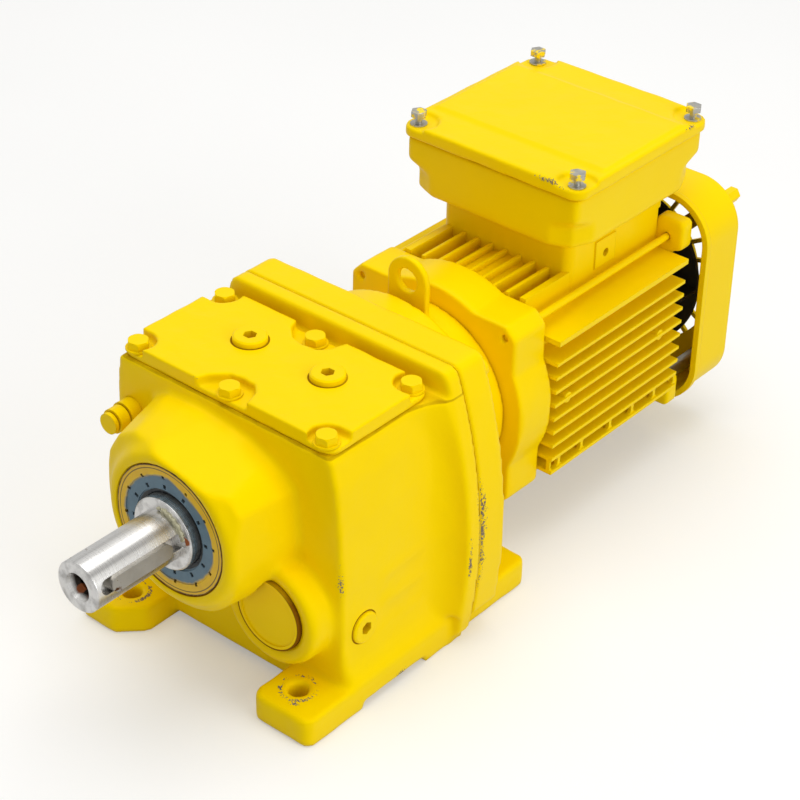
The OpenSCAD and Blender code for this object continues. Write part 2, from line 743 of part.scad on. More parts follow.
module motor_adapter() {
    color("gold") difference() {
        union() {
            difference() {
                along_y(y_seam + gasket_t, y_rear) flange_2d(0);
                along_y(y_seam - 1, y_rear - head_t) room_2d();
            }
            rod_y(0, motor_z, y_rear - head_t, y_collar, collar_r * 2);
            rod_y(0, motor_z, y_collar - 1, y_shield, neck_r * 2);
            // boss of the rear intermediate bearing
            rod_y(mid_x, mid_z, y_brg_mid_rear - 1, y_brg_mid_rear + brg_mid[2] + 5, brg_mid[1] + 12);
            // boss of the lifting eye
            translate([0, 104, motor_z + 40]) cylinder(h = neck_r - 40 + 4, d = 24);
        }
        // hollow neck behind the wall
        rod_y(0, motor_z, y_rear + 2, y_shield - 20, neck_r * 2 - 16);
        rod_y(0, motor_z, y_shield - 21, y_shield + 1, 86);
        // passage of the motor shaft and seat of its seal
        rod_y(0, motor_z, y_seam - 1, y_rear + 3, 32);
        rod_y(0, motor_z, y_rear - wall, y_rear + 3, 47);
        rod_y(mid_x, mid_z, y_brg_mid_rear - 2, y_brg_mid_rear + brg_mid[2], brg_mid[1]);
        adapter_screw_places() rod_y(0, 0, y_seam - 1, y_rear + 1, 9);
        shield_screw_places() rod_y(0, 0, y_shield - 18, y_shield + 1, 8);
        translate([0, 104, motor_z + neck_r - 12]) cylinder(h = 30, d = 10);
        // seat between and over the rear feet
        difference() {
            box_at(-flange_w, flange_w, y_seam - 1, y_rear + 1, -1, foot_t + 1);
            along_y(y_seam - 2, y_rear + 2) nest_2d(0);
        }
    }
}

module adapter_gasket() {
    color("dimgray") along_y(y_seam, y_seam + gasket_t) difference() {
        flange_2d(0.5);
        room_2d();
        for (p = joint_screws) translate(p) circle(d = 9);
        difference() {
            translate([-flange_w, -1]) square([2 * flange_w, foot_t + 2]);
            nest_2d(0);
        }
    }
}

// Socket head screw with its axis on local Z, seat at z = 0, shank downwards
module socket_screw(d, l) {
    difference() {
        union() {
            translate([0, 0, -l]) cylinder(h = l + 0.5, d = d - 0.4);
            cylinder(h = d, d = d * 1.6);
        }
        translate([0, 0, d * 0.45]) hex(d * 0.75, d);
    }
}

module adapter_screws() {
    color("silver") adapter_screw_places() translate([0, y_rear, 0]) rotate([-90, 0, 0]) socket_screw(8, 33);
}

module motor_shaft_seal() {
    color("slategray") ring_y(0, motor_z, y_rear - wall, y_rear, 47, brg_motor[0] + seal_gap * 2);
}

module lifting_eye() {
    eye_r = eye_d / 2 + eye_rim;
    base = motor_z + neck_r + 4;
    color("gold") {
        along_y(101.5, 106.5) difference() {
            union() {
                translate([0, eye_z]) circle(eye_r);
                translate([-eye_r, base]) square([eye_r * 2, eye_z - base]);
            }
            translate([0, eye_z]) circle(d = eye_d);
        }
        translate([0, 104, base - 14]) cylinder(h = 14.5, d = 9.6);
    }
}

// Round shield with four square lugs for the tie rods, drawn in X-Z about the motor axis
module shield_2d() {
    union() {
        circle(d = shield_d, $fn = 96);
        difference() {
            translate([-shield_sq / 2, -shield_sq / 2]) square(shield_sq);
            for (a = [45 : 90 : 315]) rotate(a) translate([shield_sq / 2 * sqrt(2) - 6, -20]) square(40);
        }
    }
}

module rod_places() {
    for (x = [-1, 1]) for (z = [-1, 1]) translate([x * rod_h, 0, motor_z + z * rod_h]) children();
}

module shield_screw_places() {
    for (a = [45 : 90 : 315]) translate([52 * cos(a), 0, motor_z + 52 * sin(a)]) children();
}

module drive_end_shield() {
    color("yellow") difference() {
        along_y(y_shield, y_housing) translate([0, motor_z]) shield_2d();
        rod_y(0, motor_z, y_shield + 9, y_housing + 1, shield_d - 18);
        rod_y(0, motor_z, y_shield - 1, y_housing, 32);
        shield_screw_places() rod_y(0, 0, y_shield - 1, y_housing, 9);
        rod_places() rod_y(0, 0, y_shield - 1, y_housing + 1, rod_d + rod_gap * 2);
    }
    color("yellow") difference() {
        rod_y(0, motor_z, y_shield + 8.5, y_brg_motor + brg_motor[2] + 1, brg_motor[1] + 12);
        rod_y(0, motor_z, y_shield + 8, y_brg_motor + brg_motor[2] + 2, brg_motor[1]);
    }
}

module shield_screws() {
    color("silver") shield_screw_places() translate([0, y_shield + 9, 0]) rotate([-90, 0, 0]) socket_screw(8, 25);
}

// Cross section of the stator housing without its bore
module housing_2d() {
    circle(core_r, $fn = 96);
    // top and bottom fins
    for (k = [-3 : 3]) for (s = [-1, 1])
        translate([k * top_pitch - fin_t / 2, s > 0 ? core_r - 22 : -fin_top]) square([fin_t, fin_top - core_r + 22]);
    for (s = [-1, 1]) translate([s * 50 - 2.5, 40]) square([5, fin_top - 40]);
    for (s = [-1, 1]) translate([s * 46 - 1.5, -fin_top + 4]) square([3, 30]);
    // side fins
    for (s = [-1, 1]) {
        for (k = [-4 : 3]) translate([s > 0 ? 40 : -fin_span / 2, k * side_pitch - fin_t / 2])
            square([fin_span / 2 - 40, fin_t]);
        translate([s > 0 ? 38 : -fin_span / 2 - 1, plate_z - motor_z - plate_t / 2]) square([fin_span / 2 - 37, plate_t]);
        translate([s > 0 ? 30 : -fin_span / 2, low_z - motor_z - fin_t / 2]) square([fin_span / 2 - 30, fin_t]);
    }
}

module stator_housing() {
    color("yellow") difference() {
        union() {
            along_y(y_housing, y_back) translate([0, motor_z]) housing_2d();
            // web wall of the lowest pair of fins
            for (s = [-1, 1]) translate([s * (fin_span / 2 - window_in), 0, 0])
                box_at(-1.5, 1.5, y_housing, y_back, low_z, low_fin);
            // small cast pads between the side fins
            for (s = [-1, 1]) for (y = [y_housing + 16, y_back - 26])
                translate([s * (fin_span / 2 - 10), y, motor_z]) rotate([0, 90, 0]) translate([0, 0, -5]) cylinder(h = 14, d = 8);
            // pedestal of the terminal box
            difference() {
                translate([0, 0, motor_z + 40]) linear_extrude(box_z - motor_z - 40)
                    round_rect(ped_l, ped_r, ped_front, ped_rear, 8);
                translate([0, 0, motor_z + 20]) linear_extrude(box_z - motor_z) difference() {
                    round_rect(ped_l + 8, ped_r - 8, ped_front + 7, ped_rear - 7, 5);
                    box_screw_places() circle(7);
                }
            }
            // pad of the earth screw
            box_at(ped_r - 1, ped_r + 1.2, earth_y - 12, earth_y + 11, earth_z - 9, earth_z + 12);
        }
        rod_y(0, motor_z, y_housing - 1, y_back + 1, bore_r * 2);
        rod_places() rod_y(0, 0, y_housing - 1, y_back + 1, rod_d + rod_gap * 2 + 2);
        // windows in the web walls
        for (s = [-1, 1]) translate([s * (fin_span / 2 - window_in) - 5, y_housing, low_z + fin_t / 2])
            rotate([0, 90, 0]) linear_extrude(10) mirror([1, 0]) for (i = [0 : 5])
                round_rect(0, window_h, window_posts[i] + 1.5, window_posts[i + 1] - 1.5, 3);
        // room for the rear shield under the end of the pedestal
        box_at(-fin_span, fin_span, y_back, ped_rear + 1, 0, motor_z + rod_h + 20);
        translate([ped_r - 12, earth_y, earth_z]) rotate([0, 90, 0]) cylinder(h = 15, d = 6);
        box_screw_places() translate([0, 0, box_z - 12]) cylinder(h = 13, d = 5);
    }
}

module stator_core() {
    color("gray") difference() {
        rod_y(0, motor_z, core_y, core_y + core_l, bore_r * 2);
        rod_y(0, motor_z, core_y - 1, core_y + core_l + 1, rotor_d + air_gap * 2);
    }
}

module stator_windings() {
    color("peru") for (y = [core_y - 16, core_y + core_l]) translate([0, y + 8, motor_z]) rotate([90, 0, 0])
        translate([0, 0, -8]) rotate_extrude() translate([rotor_d / 2 + 4, 0]) round_rect(0, 18, 0, 16, 4);
}

module rear_shield() {
    color("yellow") difference() {
        union() {
            rod_y(0, motor_z, y_back, y_back + back_l, 136);
            rod_y(0, motor_z, y_back - 4, y_back + back_l, brg_motor[1] + 14);
            rod_y(0, motor_z, y_back - 4, y_back + 1, bore_r * 2 - 0.2);
            for (a = [45 : 90 : 315]) along_y(y_back, y_back + back_l) translate([0, motor_z]) rotate(a)
                translate([40, -12]) square([rod_h * sqrt(2) - 40, 24]);
            along_y(y_back, y_back + back_l) translate([0, motor_z]) for (x = [-1, 1]) for (z = [-1, 1])
                translate([x * (rod_h + 2), z * (rod_h + 3)]) polygon([
                    [-12, -12], [-12, 9], [-9, 12], [9, 12], [12, 9], [12, -9], [9, -12]
                ]);
        }
        difference() {
            rod_y(0, motor_z, y_back - 5, y_back + back_l - 6, bore_r * 2 - 14);
            rod_y(0, motor_z, y_back - 6, y_back + back_l, brg_motor[1] + 14);
        }
        rod_y(0, motor_z, y_back - 5, y_brg_fan + brg_motor[2], brg_motor[1]);
        rod_y(0, motor_z, y_back, y_back + back_l + 1, brg_motor[0] + 6);
        rod_places() rod_y(0, 0, y_back - 1, y_back + back_l + 1, rod_d + rod_gap * 2);
    }
}

module guard_spacers() {
    color("silver") rod_places() ring_y(0, 0, y_back + back_l, y_grille - 3, 11, rod_d + rod_gap * 2);
}

module guard_2d(half, r) {
    round_rect(-half, half, -half, half, r);
}

module fan_guard() {
    color("yellow") difference() {
        union() {
            along_y(y_guard, y_grille) translate([0, motor_z]) guard_2d(guard_half, 34);
            along_y(y_guard, y_guard + 5) translate([0, motor_z]) guard_2d(guard_half + 2, 36);
        }
        along_y(y_guard - 1, y_grille - 3) translate([0, motor_z]) guard_2d(guard_half - 2.5, 31.5);
        // grille: rings of openings between spokes
        along_y(y_grille - 4, y_grille + 1) translate([0, motor_z]) difference() {
            circle(70);
            circle(20);
            for (r = [36, 53]) difference() {
                circle(r + 1.5);
                circle(r - 1.5);
            }
            for (a = [0 : 15 : 345]) rotate(a) translate([19, -1.5]) square([60, 3]);
        }
        rod_places() rod_y(0, 0, y_grille - 4, y_grille + 1, rod_d + rod_gap * 2);
    }
}

module tie_rods() {
    color("silver") rod_places() rod_y(0, 0, y_shield + 3, y_grille + nut_l - 4, rod_d);
}

module rod_nuts() {
    color("silver") rod_places() translate([0, y_grille, 0]) rotate([-90, 0, 0]) difference() {
        union() {
            cylinder(h = 1.6, d = 12);
            translate([0, 0, 1.5]) hex(10, nut_l);
        }
        translate([0, 0, -1]) cylinder(h = nut_l - 2, d = rod_d);
    }
}

// Plan of the terminal box with its corners cut
module box_2d(inset, cut) {
    w = box_w / 2 - inset;
    f = box_front + inset;
    b = box_rear - inset;
    k = cut * 0.3;
    translate([box_x, 0]) polygon([
        [-w + cut, f], [w - cut, f], [w - k, f + k], [w, f + cut], [w, b - cut], [w - k, b - k], [w - cut, b],
        [-w + cut, b], [-w + k, b - k], [-w, b - cut], [-w, f + cut], [-w + k, f + k]
    ]);
}

module box_screw_places() {
    for (x = [ped_l + 11, ped_r - 11]) for (y = [ped_front + 10, ped_rear - 10]) translate([x, y]) children();
}

module terminal_box() {
    color("yellow") difference() {
        union() {
            translate([0, 0, box_z + 2]) linear_extrude(box_top - box_z - 2) box_2d(0, box_cut);
            translate([0, 0, box_z]) linear_extrude(3) box_2d(2, box_cut - 1);
            translate([0, 0, box_mid]) linear_extrude(box_top - box_mid) box_2d(0, 4);
            hull() {
                translate([0, 0, box_mid]) linear_extrude(1) box_2d(0, 4);
                translate([0, 0, box_mid - box_step]) linear_extrude(1) box_2d(0, box_cut);
            }
        }
        translate([0, 0, box_z + 5]) linear_extrude(box_h) box_2d(4, box_cut);
        translate([0, 0, box_z - 1]) linear_extrude(10) round_rect(-30, 26, 235, 280, 6);
        box_screw_places() translate([0, 0, box_z - 1]) cylinder(h = 20, d = 6);
        lid_bolt_places() translate([0, 0, box_top - 16]) cylinder(h = 18, d = 5);
        entry_places() rotate([0, -90, 0]) translate([0, 0, -10]) cylinder(h = 30, d = 20);
    }
}

module entry_places() {
    for (y = [240, 285]) translate([box_x - box_w / 2, y, box_z + 20]) children();
}

module entry_plugs() {
    color("dimgray") entry_places() rotate([0, -90, 0]) {
        translate([0, 0, -6]) cylinder(h = 7, d = 19.6);
        hex(24, 5);
        cylinder(h = 7, d = 20);
    }
}

module box_screws() {
    color("silver") box_screw_places() translate([0, 0, box_z + 5]) socket_screw(5, 14);
}

module lid_bolt_places() {
    for (x = [-1, 1]) for (y = [lid_front + lid_bolt_in, lid_front + lid_l - lid_bolt_in])
        translate([box_x + x * (lid_w / 2 - lid_bolt_in), y]) children();
}

module box_gasket() {
    color("dimgray") translate([0, 0, box_top]) linear_extrude(1) difference() {
        box_2d(1.5, 4);
        box_2d(4, box_cut);
        lid_bolt_places() circle(d = 6.5);
    }
}

module box_lid() {
    color("yellow") difference() {
        union() {
            translate([0, 0, lid_z]) linear_extrude(lid_t)
                round_rect(box_x - lid_w / 2, box_x + lid_w / 2, lid_front, lid_front + lid_l, 11);
            // raised band across the lid
            translate([box_x - lid_w / 2 + 5, 0, lid_top - 0.5]) rotate([90, 0, 90]) linear_extrude(lid_w - 10) polygon([
                [lid_front + 29, 0], [lid_front + 34, 2], [lid_front + lid_l - 30, 2], [lid_front + lid_l - 25, 0]
            ]);
        }
        // recess round each lid bolt
        lid_bolt_places() translate([0, 0, lid_seat]) cylinder(h = 10, r = 14);
        lid_bolt_places() translate([0, 0, lid_z - 1]) cylinder(h = 20, d = 6.5);
        // hollow underside
        translate([0, 0, lid_z - 1]) linear_extrude(lid_t - 3) box_2d(16, box_cut);
    }
}

module lid_bolts() {
    color("silver") lid_bolt_places() translate([0, 0, lid_seat + lid_lift]) {
        translate([0, 0, -24]) cylinder(h = 25, d = 4.6);
        hex(10, 4);
    }
    color("silver") lid_bolt_places() translate([0, 0, lid_seat]) cylinder(h = 1, d = 12);
}

module terminal_board() {
    color("saddlebrown") {
        box_at(-30, 30, 284, 312, box_z + 5, box_z + 13);
        box_at(-27, 27, 288, 308, box_z + 12.5, box_z + 16);
    }
}

module terminal_studs() {
    color("goldenrod") for (i = [-1, 0, 1]) for (y = [293, 303]) translate([i * 18, y, box_z + 16]) {
        cylinder(h = 11, d = 4.6);
        hex(8, 3.5);
    }
}

module earth_screw() {
    color("silver") translate([ped_r - 9, earth_y, earth_z]) rotate([0, 90, 0]) cylinder(h = 7, d = 5.6);
}

module output_shaft() {
    color("silver") difference() {
        union() {
            rod_y(0, shaft_z, y_tip + 1, y_shoulder, shaft_d);
            cone_y(0, shaft_z, y_tip, y_tip + 1.01, shaft_d - 2, shaft_d);
            rod_y(0, shaft_z, y_shoulder + 1, y_wheel - 4, seat_d);
            cone_y(0, shaft_z, y_shoulder, y_shoulder + 1.01, seat_d - 2, seat_d);
            rod_y(0, shaft_z, y_wheel - 5, y_wheel, seat_d + 10);
            rod_y(0, shaft_z, y_wheel - 1, y_wheel + wheel_w, wheel_bore);
            rod_y(0, shaft_z, y_wheel + wheel_w - 1, y_brg_rear + brg_rear[2] + 3, rear_journal);
        }
        // tapped centre hole with its countersink
        rod_y(0, shaft_z, y_tip - 1, y_tip + 34, centre_d);
        cone_y(0, shaft_z, y_tip - 0.01, y_tip + 7, centre_d + 9.6, centre_d + 1.5);
        // keyway, longer than the key and run out into the shoulder
        shaft_key(0, shaft_z, y_tip + 4, shaft_d / 2, key_w, key_h, shaft_l - 1, key_angle);
        wheel_key_solid();
        // groove of the retaining ring
        ring_y(0, shaft_z, y_brg_rear + brg_rear[2], y_brg_rear + brg_rear[2] + 1.5, rear_journal + 4, rear_journal - 2);
    }
}

module output_key() {
    color("dimgray") shaft_key(0, shaft_z, y_tip + 10, shaft_d / 2, key_w, key_h, key_l, key_angle);
}

module output_wheel() {
    color("steelblue") difference() {
        gear_y(0, shaft_z, y_wheel, y_wheel + wheel_w, module_2, teeth_output, mesh_2, wheel_bore);
        hub_slot(0, shaft_z, y_wheel, wheel_bore / 2, wheel_key_w, wheel_key_h, wheel_w);
        for (y = [y_wheel - 1, y_wheel + wheel_w - 6]) ring_y(0, shaft_z, y, y + 7, wheel_rim, wheel_hub);
    }
}

module wheel_key_solid() {
    shaft_key(0, shaft_z, y_wheel + 2, wheel_bore / 2, wheel_key_w, wheel_key_h, wheel_w - 4, 90);
}

module wheel_key() {
    color("dimgray") wheel_key_solid();
}

module shaft_sleeve() {
    color("lightgray") ring_y(0, shaft_z, y_wheel + wheel_w, y_brg_rear, rear_journal + 9, rear_journal);
}

module shaft_ring() {
    color("silver") difference() {
        ring_y(0, shaft_z, y_brg_rear + brg_rear[2], y_brg_rear + brg_rear[2] + 1.5, rear_journal + 6, rear_journal - 2);
        box_at(-4, 4, y_brg_rear, y_brg_rear + 40, shaft_z - 30, shaft_z - 10);
    }
}

module output_inner_rings() {
    color("lightsteelblue") {
        inner_ring(0, shaft_z, y_brg_front, brg_front);
        inner_ring(0, shaft_z, y_brg_rear, brg_rear);
    }
}

module output_front_balls() {
    color("white") ball_set(0, shaft_z, y_brg_front, brg_front, 10);
}

module output_rear_balls() {
    color("white") ball_set(0, shaft_z, y_brg_rear, brg_rear, 9);
}

module pinion_shaft() {
    color("steelblue") {
        rod_y(mid_x, mid_z, y_brg_mid, y_pinion, brg_mid[0]);
        gear_y(mid_x, mid_z, y_pinion, y_pinion + pinion_w, module_2, teeth_second, mesh_2 + 180 + 180 / teeth_second, 0.01);
        rod_y(mid_x, mid_z, y_pinion + pinion_w, y_first - 2, mid_d);
    }
    color("silver") difference() {
        union() {
            rod_y(mid_x, mid_z, y_first - 2, y_brg_mid_rear, first_bore);
            rod_y(mid_x, mid_z, y_first + first_w, y_brg_mid_rear + brg_mid[2], brg_mid[0]);
        }
        first_key_solid();
    }
}

module first_wheel() {
    color("steelblue") difference() {
        gear_y(mid_x, mid_z, y_first, y_first + first_w, module_1, teeth_first, mesh_1 + 180 + 180 / teeth_first, first_bore);
        hub_slot(mid_x, mid_z, y_first, first_bore / 2, first_key_w, first_key_h, first_w);
        for (y = [y_first - 1, y_first + first_w - 4]) ring_y(mid_x, mid_z, y, y + 5, first_rim, first_hub);
    }
}

module first_key_solid() {
    shaft_key(mid_x, mid_z, y_first + 1, first_bore / 2, first_key_w, first_key_h, first_w - 2, 90);
}

module first_key() {
    color("dimgray") first_key_solid();
}

module intermediate_inner_rings() {
    color("lightsteelblue") {
        inner_ring(mid_x, mid_z, y_brg_mid, brg_mid);
        inner_ring(mid_x, mid_z, y_brg_mid_rear, brg_mid);
    }
}

module intermediate_balls() {
    color("white") {
        ball_set(mid_x, mid_z, y_brg_mid, brg_mid, 8);
        ball_set(mid_x, mid_z, y_brg_mid_rear, brg_mid, 8);
    }
}

module rotor_shaft() {
    color("silver") difference() {
        union() {
            rod_y(0, motor_z, y_motor_pinion - 1, y_motor_pinion + motor_pinion_w, pinion_bore);
            rod_y(0, motor_z, y_motor_pinion + motor_pinion_w, y_brg_motor + brg_motor[2], brg_motor[0]);
            rod_y(0, motor_z, y_brg_motor + brg_motor[2], y_brg_fan, rotor_seat);
            rod_y(0, motor_z, y_brg_fan, y_guard + 28, brg_motor[0]);
        }
        pinion_key_solid();
    }
}

module rotor_core() {
    color("gray") difference() {
        union() {
            rod_y(0, motor_z, core_y, core_y + core_l, rotor_d);
            rod_y(0, motor_z, core_y - 10, core_y + core_l + 10, rotor_d - 6);
        }
        rod_y(0, motor_z, core_y - 11, core_y + core_l + 11, rotor_seat);
    }
}

module motor_pinion() {
    color("steelblue") difference() {
        gear_y(0, motor_z, y_motor_pinion, y_motor_pinion + motor_pinion_w, module_1, teeth_motor, mesh_1, pinion_bore);
        hub_slot(0, motor_z, y_motor_pinion, pinion_bore / 2, 5, 5, motor_pinion_w);
    }
}

module pinion_key_solid() {
    shaft_key(0, motor_z, y_motor_pinion + 2, pinion_bore / 2, 5, 5, motor_pinion_w - 4, 90);
}

module pinion_key() {
    color("dimgray") pinion_key_solid();
}

module motor_inner_rings() {
    color("lightsteelblue") {
        inner_ring(0, motor_z, y_brg_motor, brg_motor);
        inner_ring(0, motor_z, y_brg_fan, brg_motor);
    }
}

module motor_balls() {
    color("white") {
        ball_set(0, motor_z, y_brg_motor, brg_motor, 9);
        ball_set(0, motor_z, y_brg_fan, brg_motor, 9);
    }
}

module fan() {
    color("dimgray") difference() {
        union() {
            rod_y(0, motor_z, y_guard + 4, y_guard + 28, fan_hub);
            rod_y(0, motor_z, y_guard + 24, y_guard + 27, fan_d);
            for (i = [0 : fan_blades - 1]) translate([0, y_guard + 4, motor_z]) rotate([0, i * 360 / fan_blades, 0])
                translate([fan_hub / 2 - 3, 0, -1.25]) cube([fan_d / 2 - fan_hub / 2 + 2.5, 21, 2.5]);
        }
        rod_y(0, motor_z, y_guard, y_guard + 40, brg_motor[0]);
    }
}

gear_case();
top_cover();
cover_gasket();
cover_bolts();
filler_plugs();
level_plug();
breather();
intermediate_cap();
output_seal();
bore_ring();
output_outer_rings();
intermediate_outer_rings();
motor_adapter();
adapter_gasket();
adapter_screws();
motor_shaft_seal();
lifting_eye();
drive_end_shield();
shield_screws();
stator_housing();
stator_core();
stator_windings();
motor_outer_rings();
rear_shield();
guard_spacers();
fan_guard();
tie_rods();
rod_nuts();
terminal_box();
box_screws();
box_gasket();
box_lid();
lid_bolts();
terminal_board();
terminal_studs();
entry_plugs();
earth_screw();
output_shaft();
output_key();
output_wheel();
wheel_key();
shaft_sleeve();
shaft_ring();
output_inner_rings();
output_front_balls();
output_rear_balls();
pinion_shaft();
first_wheel();
first_key();
intermediate_inner_rings();
intermediate_balls();
rotor_shaft();
rotor_core();
motor_pinion();
pinion_key();
motor_inner_rings();
motor_balls();
fan();
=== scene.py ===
# %% [markdown]
# # A painted gear motor, dressed for the camera
# The real object is a small factory drive: a cast gear case, an adapter, a finned motor and a terminal
# box, all sprayed in one thick yellow enamel after assembly. The metal shapes come ready made from the
# CAD model. This lesson gives them soft cast edges, their finishes, and a studio to stand in.

# %% Load the fixed frame
import math

import bmesh
import bpy
import numpy as np
from mathutils import Matrix, Vector


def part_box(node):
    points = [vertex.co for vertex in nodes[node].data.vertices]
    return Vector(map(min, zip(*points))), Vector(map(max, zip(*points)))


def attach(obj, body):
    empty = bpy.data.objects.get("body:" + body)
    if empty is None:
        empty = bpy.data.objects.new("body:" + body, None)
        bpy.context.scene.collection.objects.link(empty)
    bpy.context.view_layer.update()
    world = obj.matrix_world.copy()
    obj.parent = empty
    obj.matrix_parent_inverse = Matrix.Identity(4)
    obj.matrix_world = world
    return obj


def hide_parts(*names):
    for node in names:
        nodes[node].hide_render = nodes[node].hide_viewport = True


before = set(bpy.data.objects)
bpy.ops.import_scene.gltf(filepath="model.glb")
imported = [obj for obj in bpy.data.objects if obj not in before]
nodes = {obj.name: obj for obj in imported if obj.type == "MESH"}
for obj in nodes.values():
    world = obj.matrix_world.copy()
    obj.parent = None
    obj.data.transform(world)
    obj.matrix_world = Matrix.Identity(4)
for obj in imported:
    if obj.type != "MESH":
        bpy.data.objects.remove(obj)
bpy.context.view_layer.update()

# %% [markdown]
# Colours are written the way a paint chart gives them, as sRGB hex. Blender computes light with linear
# numbers, so one function turns the one into the other. A second small function adds a shader node,
# sets it and wires it, which keeps each finish short enough to read.

# %% Colours and the node helper
def linear(code):
    """Each channel c of the hex code, from 0 to 1, becomes ((c + 0.055) / 1.055) ** 2.4 above the toe."""
    parts = np.array([int(code[i:i + 2], 16) for i in (1, 3, 5)]) / 255
    lit = np.where(parts > 0.04045, ((parts + 0.055) / 1.055) ** 2.4, parts / 12.92)
    return (*lit.tolist(), 1.0)


def put(tree, kind, inputs=None, **settings):
    """Adds one node: settings are its properties, inputs are numbers or the output sockets to wire in."""
    node = tree.nodes.new(kind)
    for key, value in settings.items():
        setattr(node, key, value)
    for key, value in (inputs or {}).items():
        if isinstance(value, bpy.types.NodeSocket):
            tree.links.new(value, node.inputs[key])
        else:
            node.inputs[key].default_value = value
    return node


MM = 0.001
print("a mid grey, #808080, in linear light:", [round(v, 3) for v in linear("#808080")])

# %% [markdown]
# The CAD meshes arrive as loose triangles. A modifier can weld them again and smooth the shading across
# shallow edges, without touching the mesh itself. Geometry nodes do it: merge by distance, then mark an
# edge smooth where its two faces meet at less than a set angle.

# %% Weld and smooth
WELD = 0.00002
SMOOTH_ANGLE = math.radians(32)


def build_weld_group():
    """Geometry in, welded and smooth-shaded geometry out."""
    group = bpy.data.node_groups.new("weld_and_smooth", "GeometryNodeTree")
    group.interface.new_socket("Geometry", in_out="INPUT", socket_type="NodeSocketGeometry")
    group.interface.new_socket("Geometry", in_out="OUTPUT", socket_type="NodeSocketGeometry")
    start = put(group, "NodeGroupInput")
    weld = put(group, "GeometryNodeMergeByDistance", {"Geometry": start.outputs[0], "Distance": WELD})
    faces = put(group, "GeometryNodeSetShadeSmooth", {"Geometry": weld.outputs[0], "Shade Smooth": True},
                domain="FACE")
    angle = put(group, "GeometryNodeInputMeshEdgeAngle")
    shallow = put(group, "FunctionNodeCompare", {0: angle.outputs[0], 1: SMOOTH_ANGLE},
                  data_type="FLOAT", operation="LESS_THAN")
    edges = put(group, "GeometryNodeSetShadeSmooth", {"Geometry": faces.outputs[0],
                "Shade Smooth": shallow.outputs[0]}, domain="EDGE")
    put(group, "NodeGroupOutput", {0: edges.outputs[0]})
    return group


weld_group = build_weld_group()
for node in nodes.values():
    node.modifiers.new("weld", "NODES").node_group = weld_group
print("smoothed", len(nodes), "nodes")

# %% [markdown]
# Most wear is drawn by masks, numbers from 0 to 1 over the surface. Three kinds are enough here: a band
# round one value of a coordinate, the distance from an axis, and the distance from a point measured in
# a reach of its own along X, Y and Z.

# %% Masks
def band(tree, value, middle, half, fade=0.5, top=1.0):
    """Top where |value - middle| is under half * fade, falling to 0 where it is half."""
    off = put(tree, "ShaderNodeMath", {0: value, 1: middle}, operation="SUBTRACT").outputs[0]
    off = put(tree, "ShaderNodeMath", {0: off}, operation="ABSOLUTE").outputs[0]
    return put(tree, "ShaderNodeMapRange", {"Value": off, "From Min": half, "From Max": half * fade,
               "To Max": top}).outputs[0]


def from_axis(tree, place, across, centre):
    """Distance from an axis through centre; across is 1 for the directions across it and 0 along it."""
    away = put(tree, "ShaderNodeVectorMath", {0: place, 1: centre}, operation="SUBTRACT").outputs[0]
    away = put(tree, "ShaderNodeVectorMath", {0: away, 1: across}, operation="MULTIPLY").outputs[0]
    return put(tree, "ShaderNodeVectorMath", {0: away}, operation="LENGTH").outputs["Value"]


def from_point(tree, place, centre, reach):
    """The length of (place - centre) / reach, taken direction by direction."""
    away = put(tree, "ShaderNodeVectorMath", {0: place, 1: centre}, operation="SUBTRACT").outputs[0]
    away = put(tree, "ShaderNodeVectorMath", {0: away, 1: reach}, operation="DIVIDE").outputs[0]
    return put(tree, "ShaderNodeVectorMath", {0: away}, operation="LENGTH").outputs["Value"]


def within(tree, place, centre, radius):
    """1 inside a ball, falling to 0 over the last twentieth of its radius."""
    away = from_point(tree, place, centre, (radius,) * 3)
    return put(tree, "ShaderNodeMapRange", {"Value": away, "From Min": 1.0, "From Max": 0.95}).outputs[0]


ACROSS_X, ACROSS_Y, ACROSS_Z = (0.0, 1.0, 1.0), (1.0, 0.0, 1.0), (1.0, 1.0, 0.0)
print("mask helpers:", [helper.__name__ for helper in (band, from_axis, from_point, within)])

# %% [markdown]
# Every finish starts alike: a material whose Principled shader has the values that are the same all over,
# and the place of each point in Object coordinates, which is what the patterns read.

# %% Start of a finish
def finish(name, metallic=0.0, roughness=0.5, ior=None):
    """A new material with its Principled shader; a metal keeps the default IOR."""
    material = bpy.data.materials.new(name)
    material.use_nodes = True
    tree = material.node_tree
    tree.nodes.clear()
    shader = put(tree, "ShaderNodeBsdfPrincipled", {"Metallic": metallic, "Roughness": roughness})
    if ior:
        shader.inputs["IOR"].default_value = ior
    put(tree, "ShaderNodeOutputMaterial", {"Surface": shader.outputs[0]})
    place = put(tree, "ShaderNodeTexCoord").outputs["Object"]
    return material, tree, shader, place


print("a finish starts with", finish.__name__)

# %% [markdown]
# The paint is a thick alkyd enamel over sand-cast iron and die-cast aluminium. The eye reads four layers:
# an even, saturated coat with a soft gloss; an orange-peel ripple of a millimetre or two over the slow
# unevenness of the casting; painted shade that darkens the inner corners towards brown where little sky is
# open, with brown soiling along some joints; and chips on the outer edges that show grey metal and brown
# primer. The edges are found with the Bevel shader: where its rounded normal leaves the true one, there is
# an edge, and the same rounded normal makes the cast edge look soft.

# %% Painted shade and soiling of the enamel
ENAMEL = "#FFDE00"
ENAMEL_DEEP = "#FAD400"
# one brown for two things: painted shade in the inner corners and soiling along joints
GRIME_AND_SHADE = "#8A5A0C"
PRIMER = "#6B4A3C"
BARE_IRON = "#8D8A84"


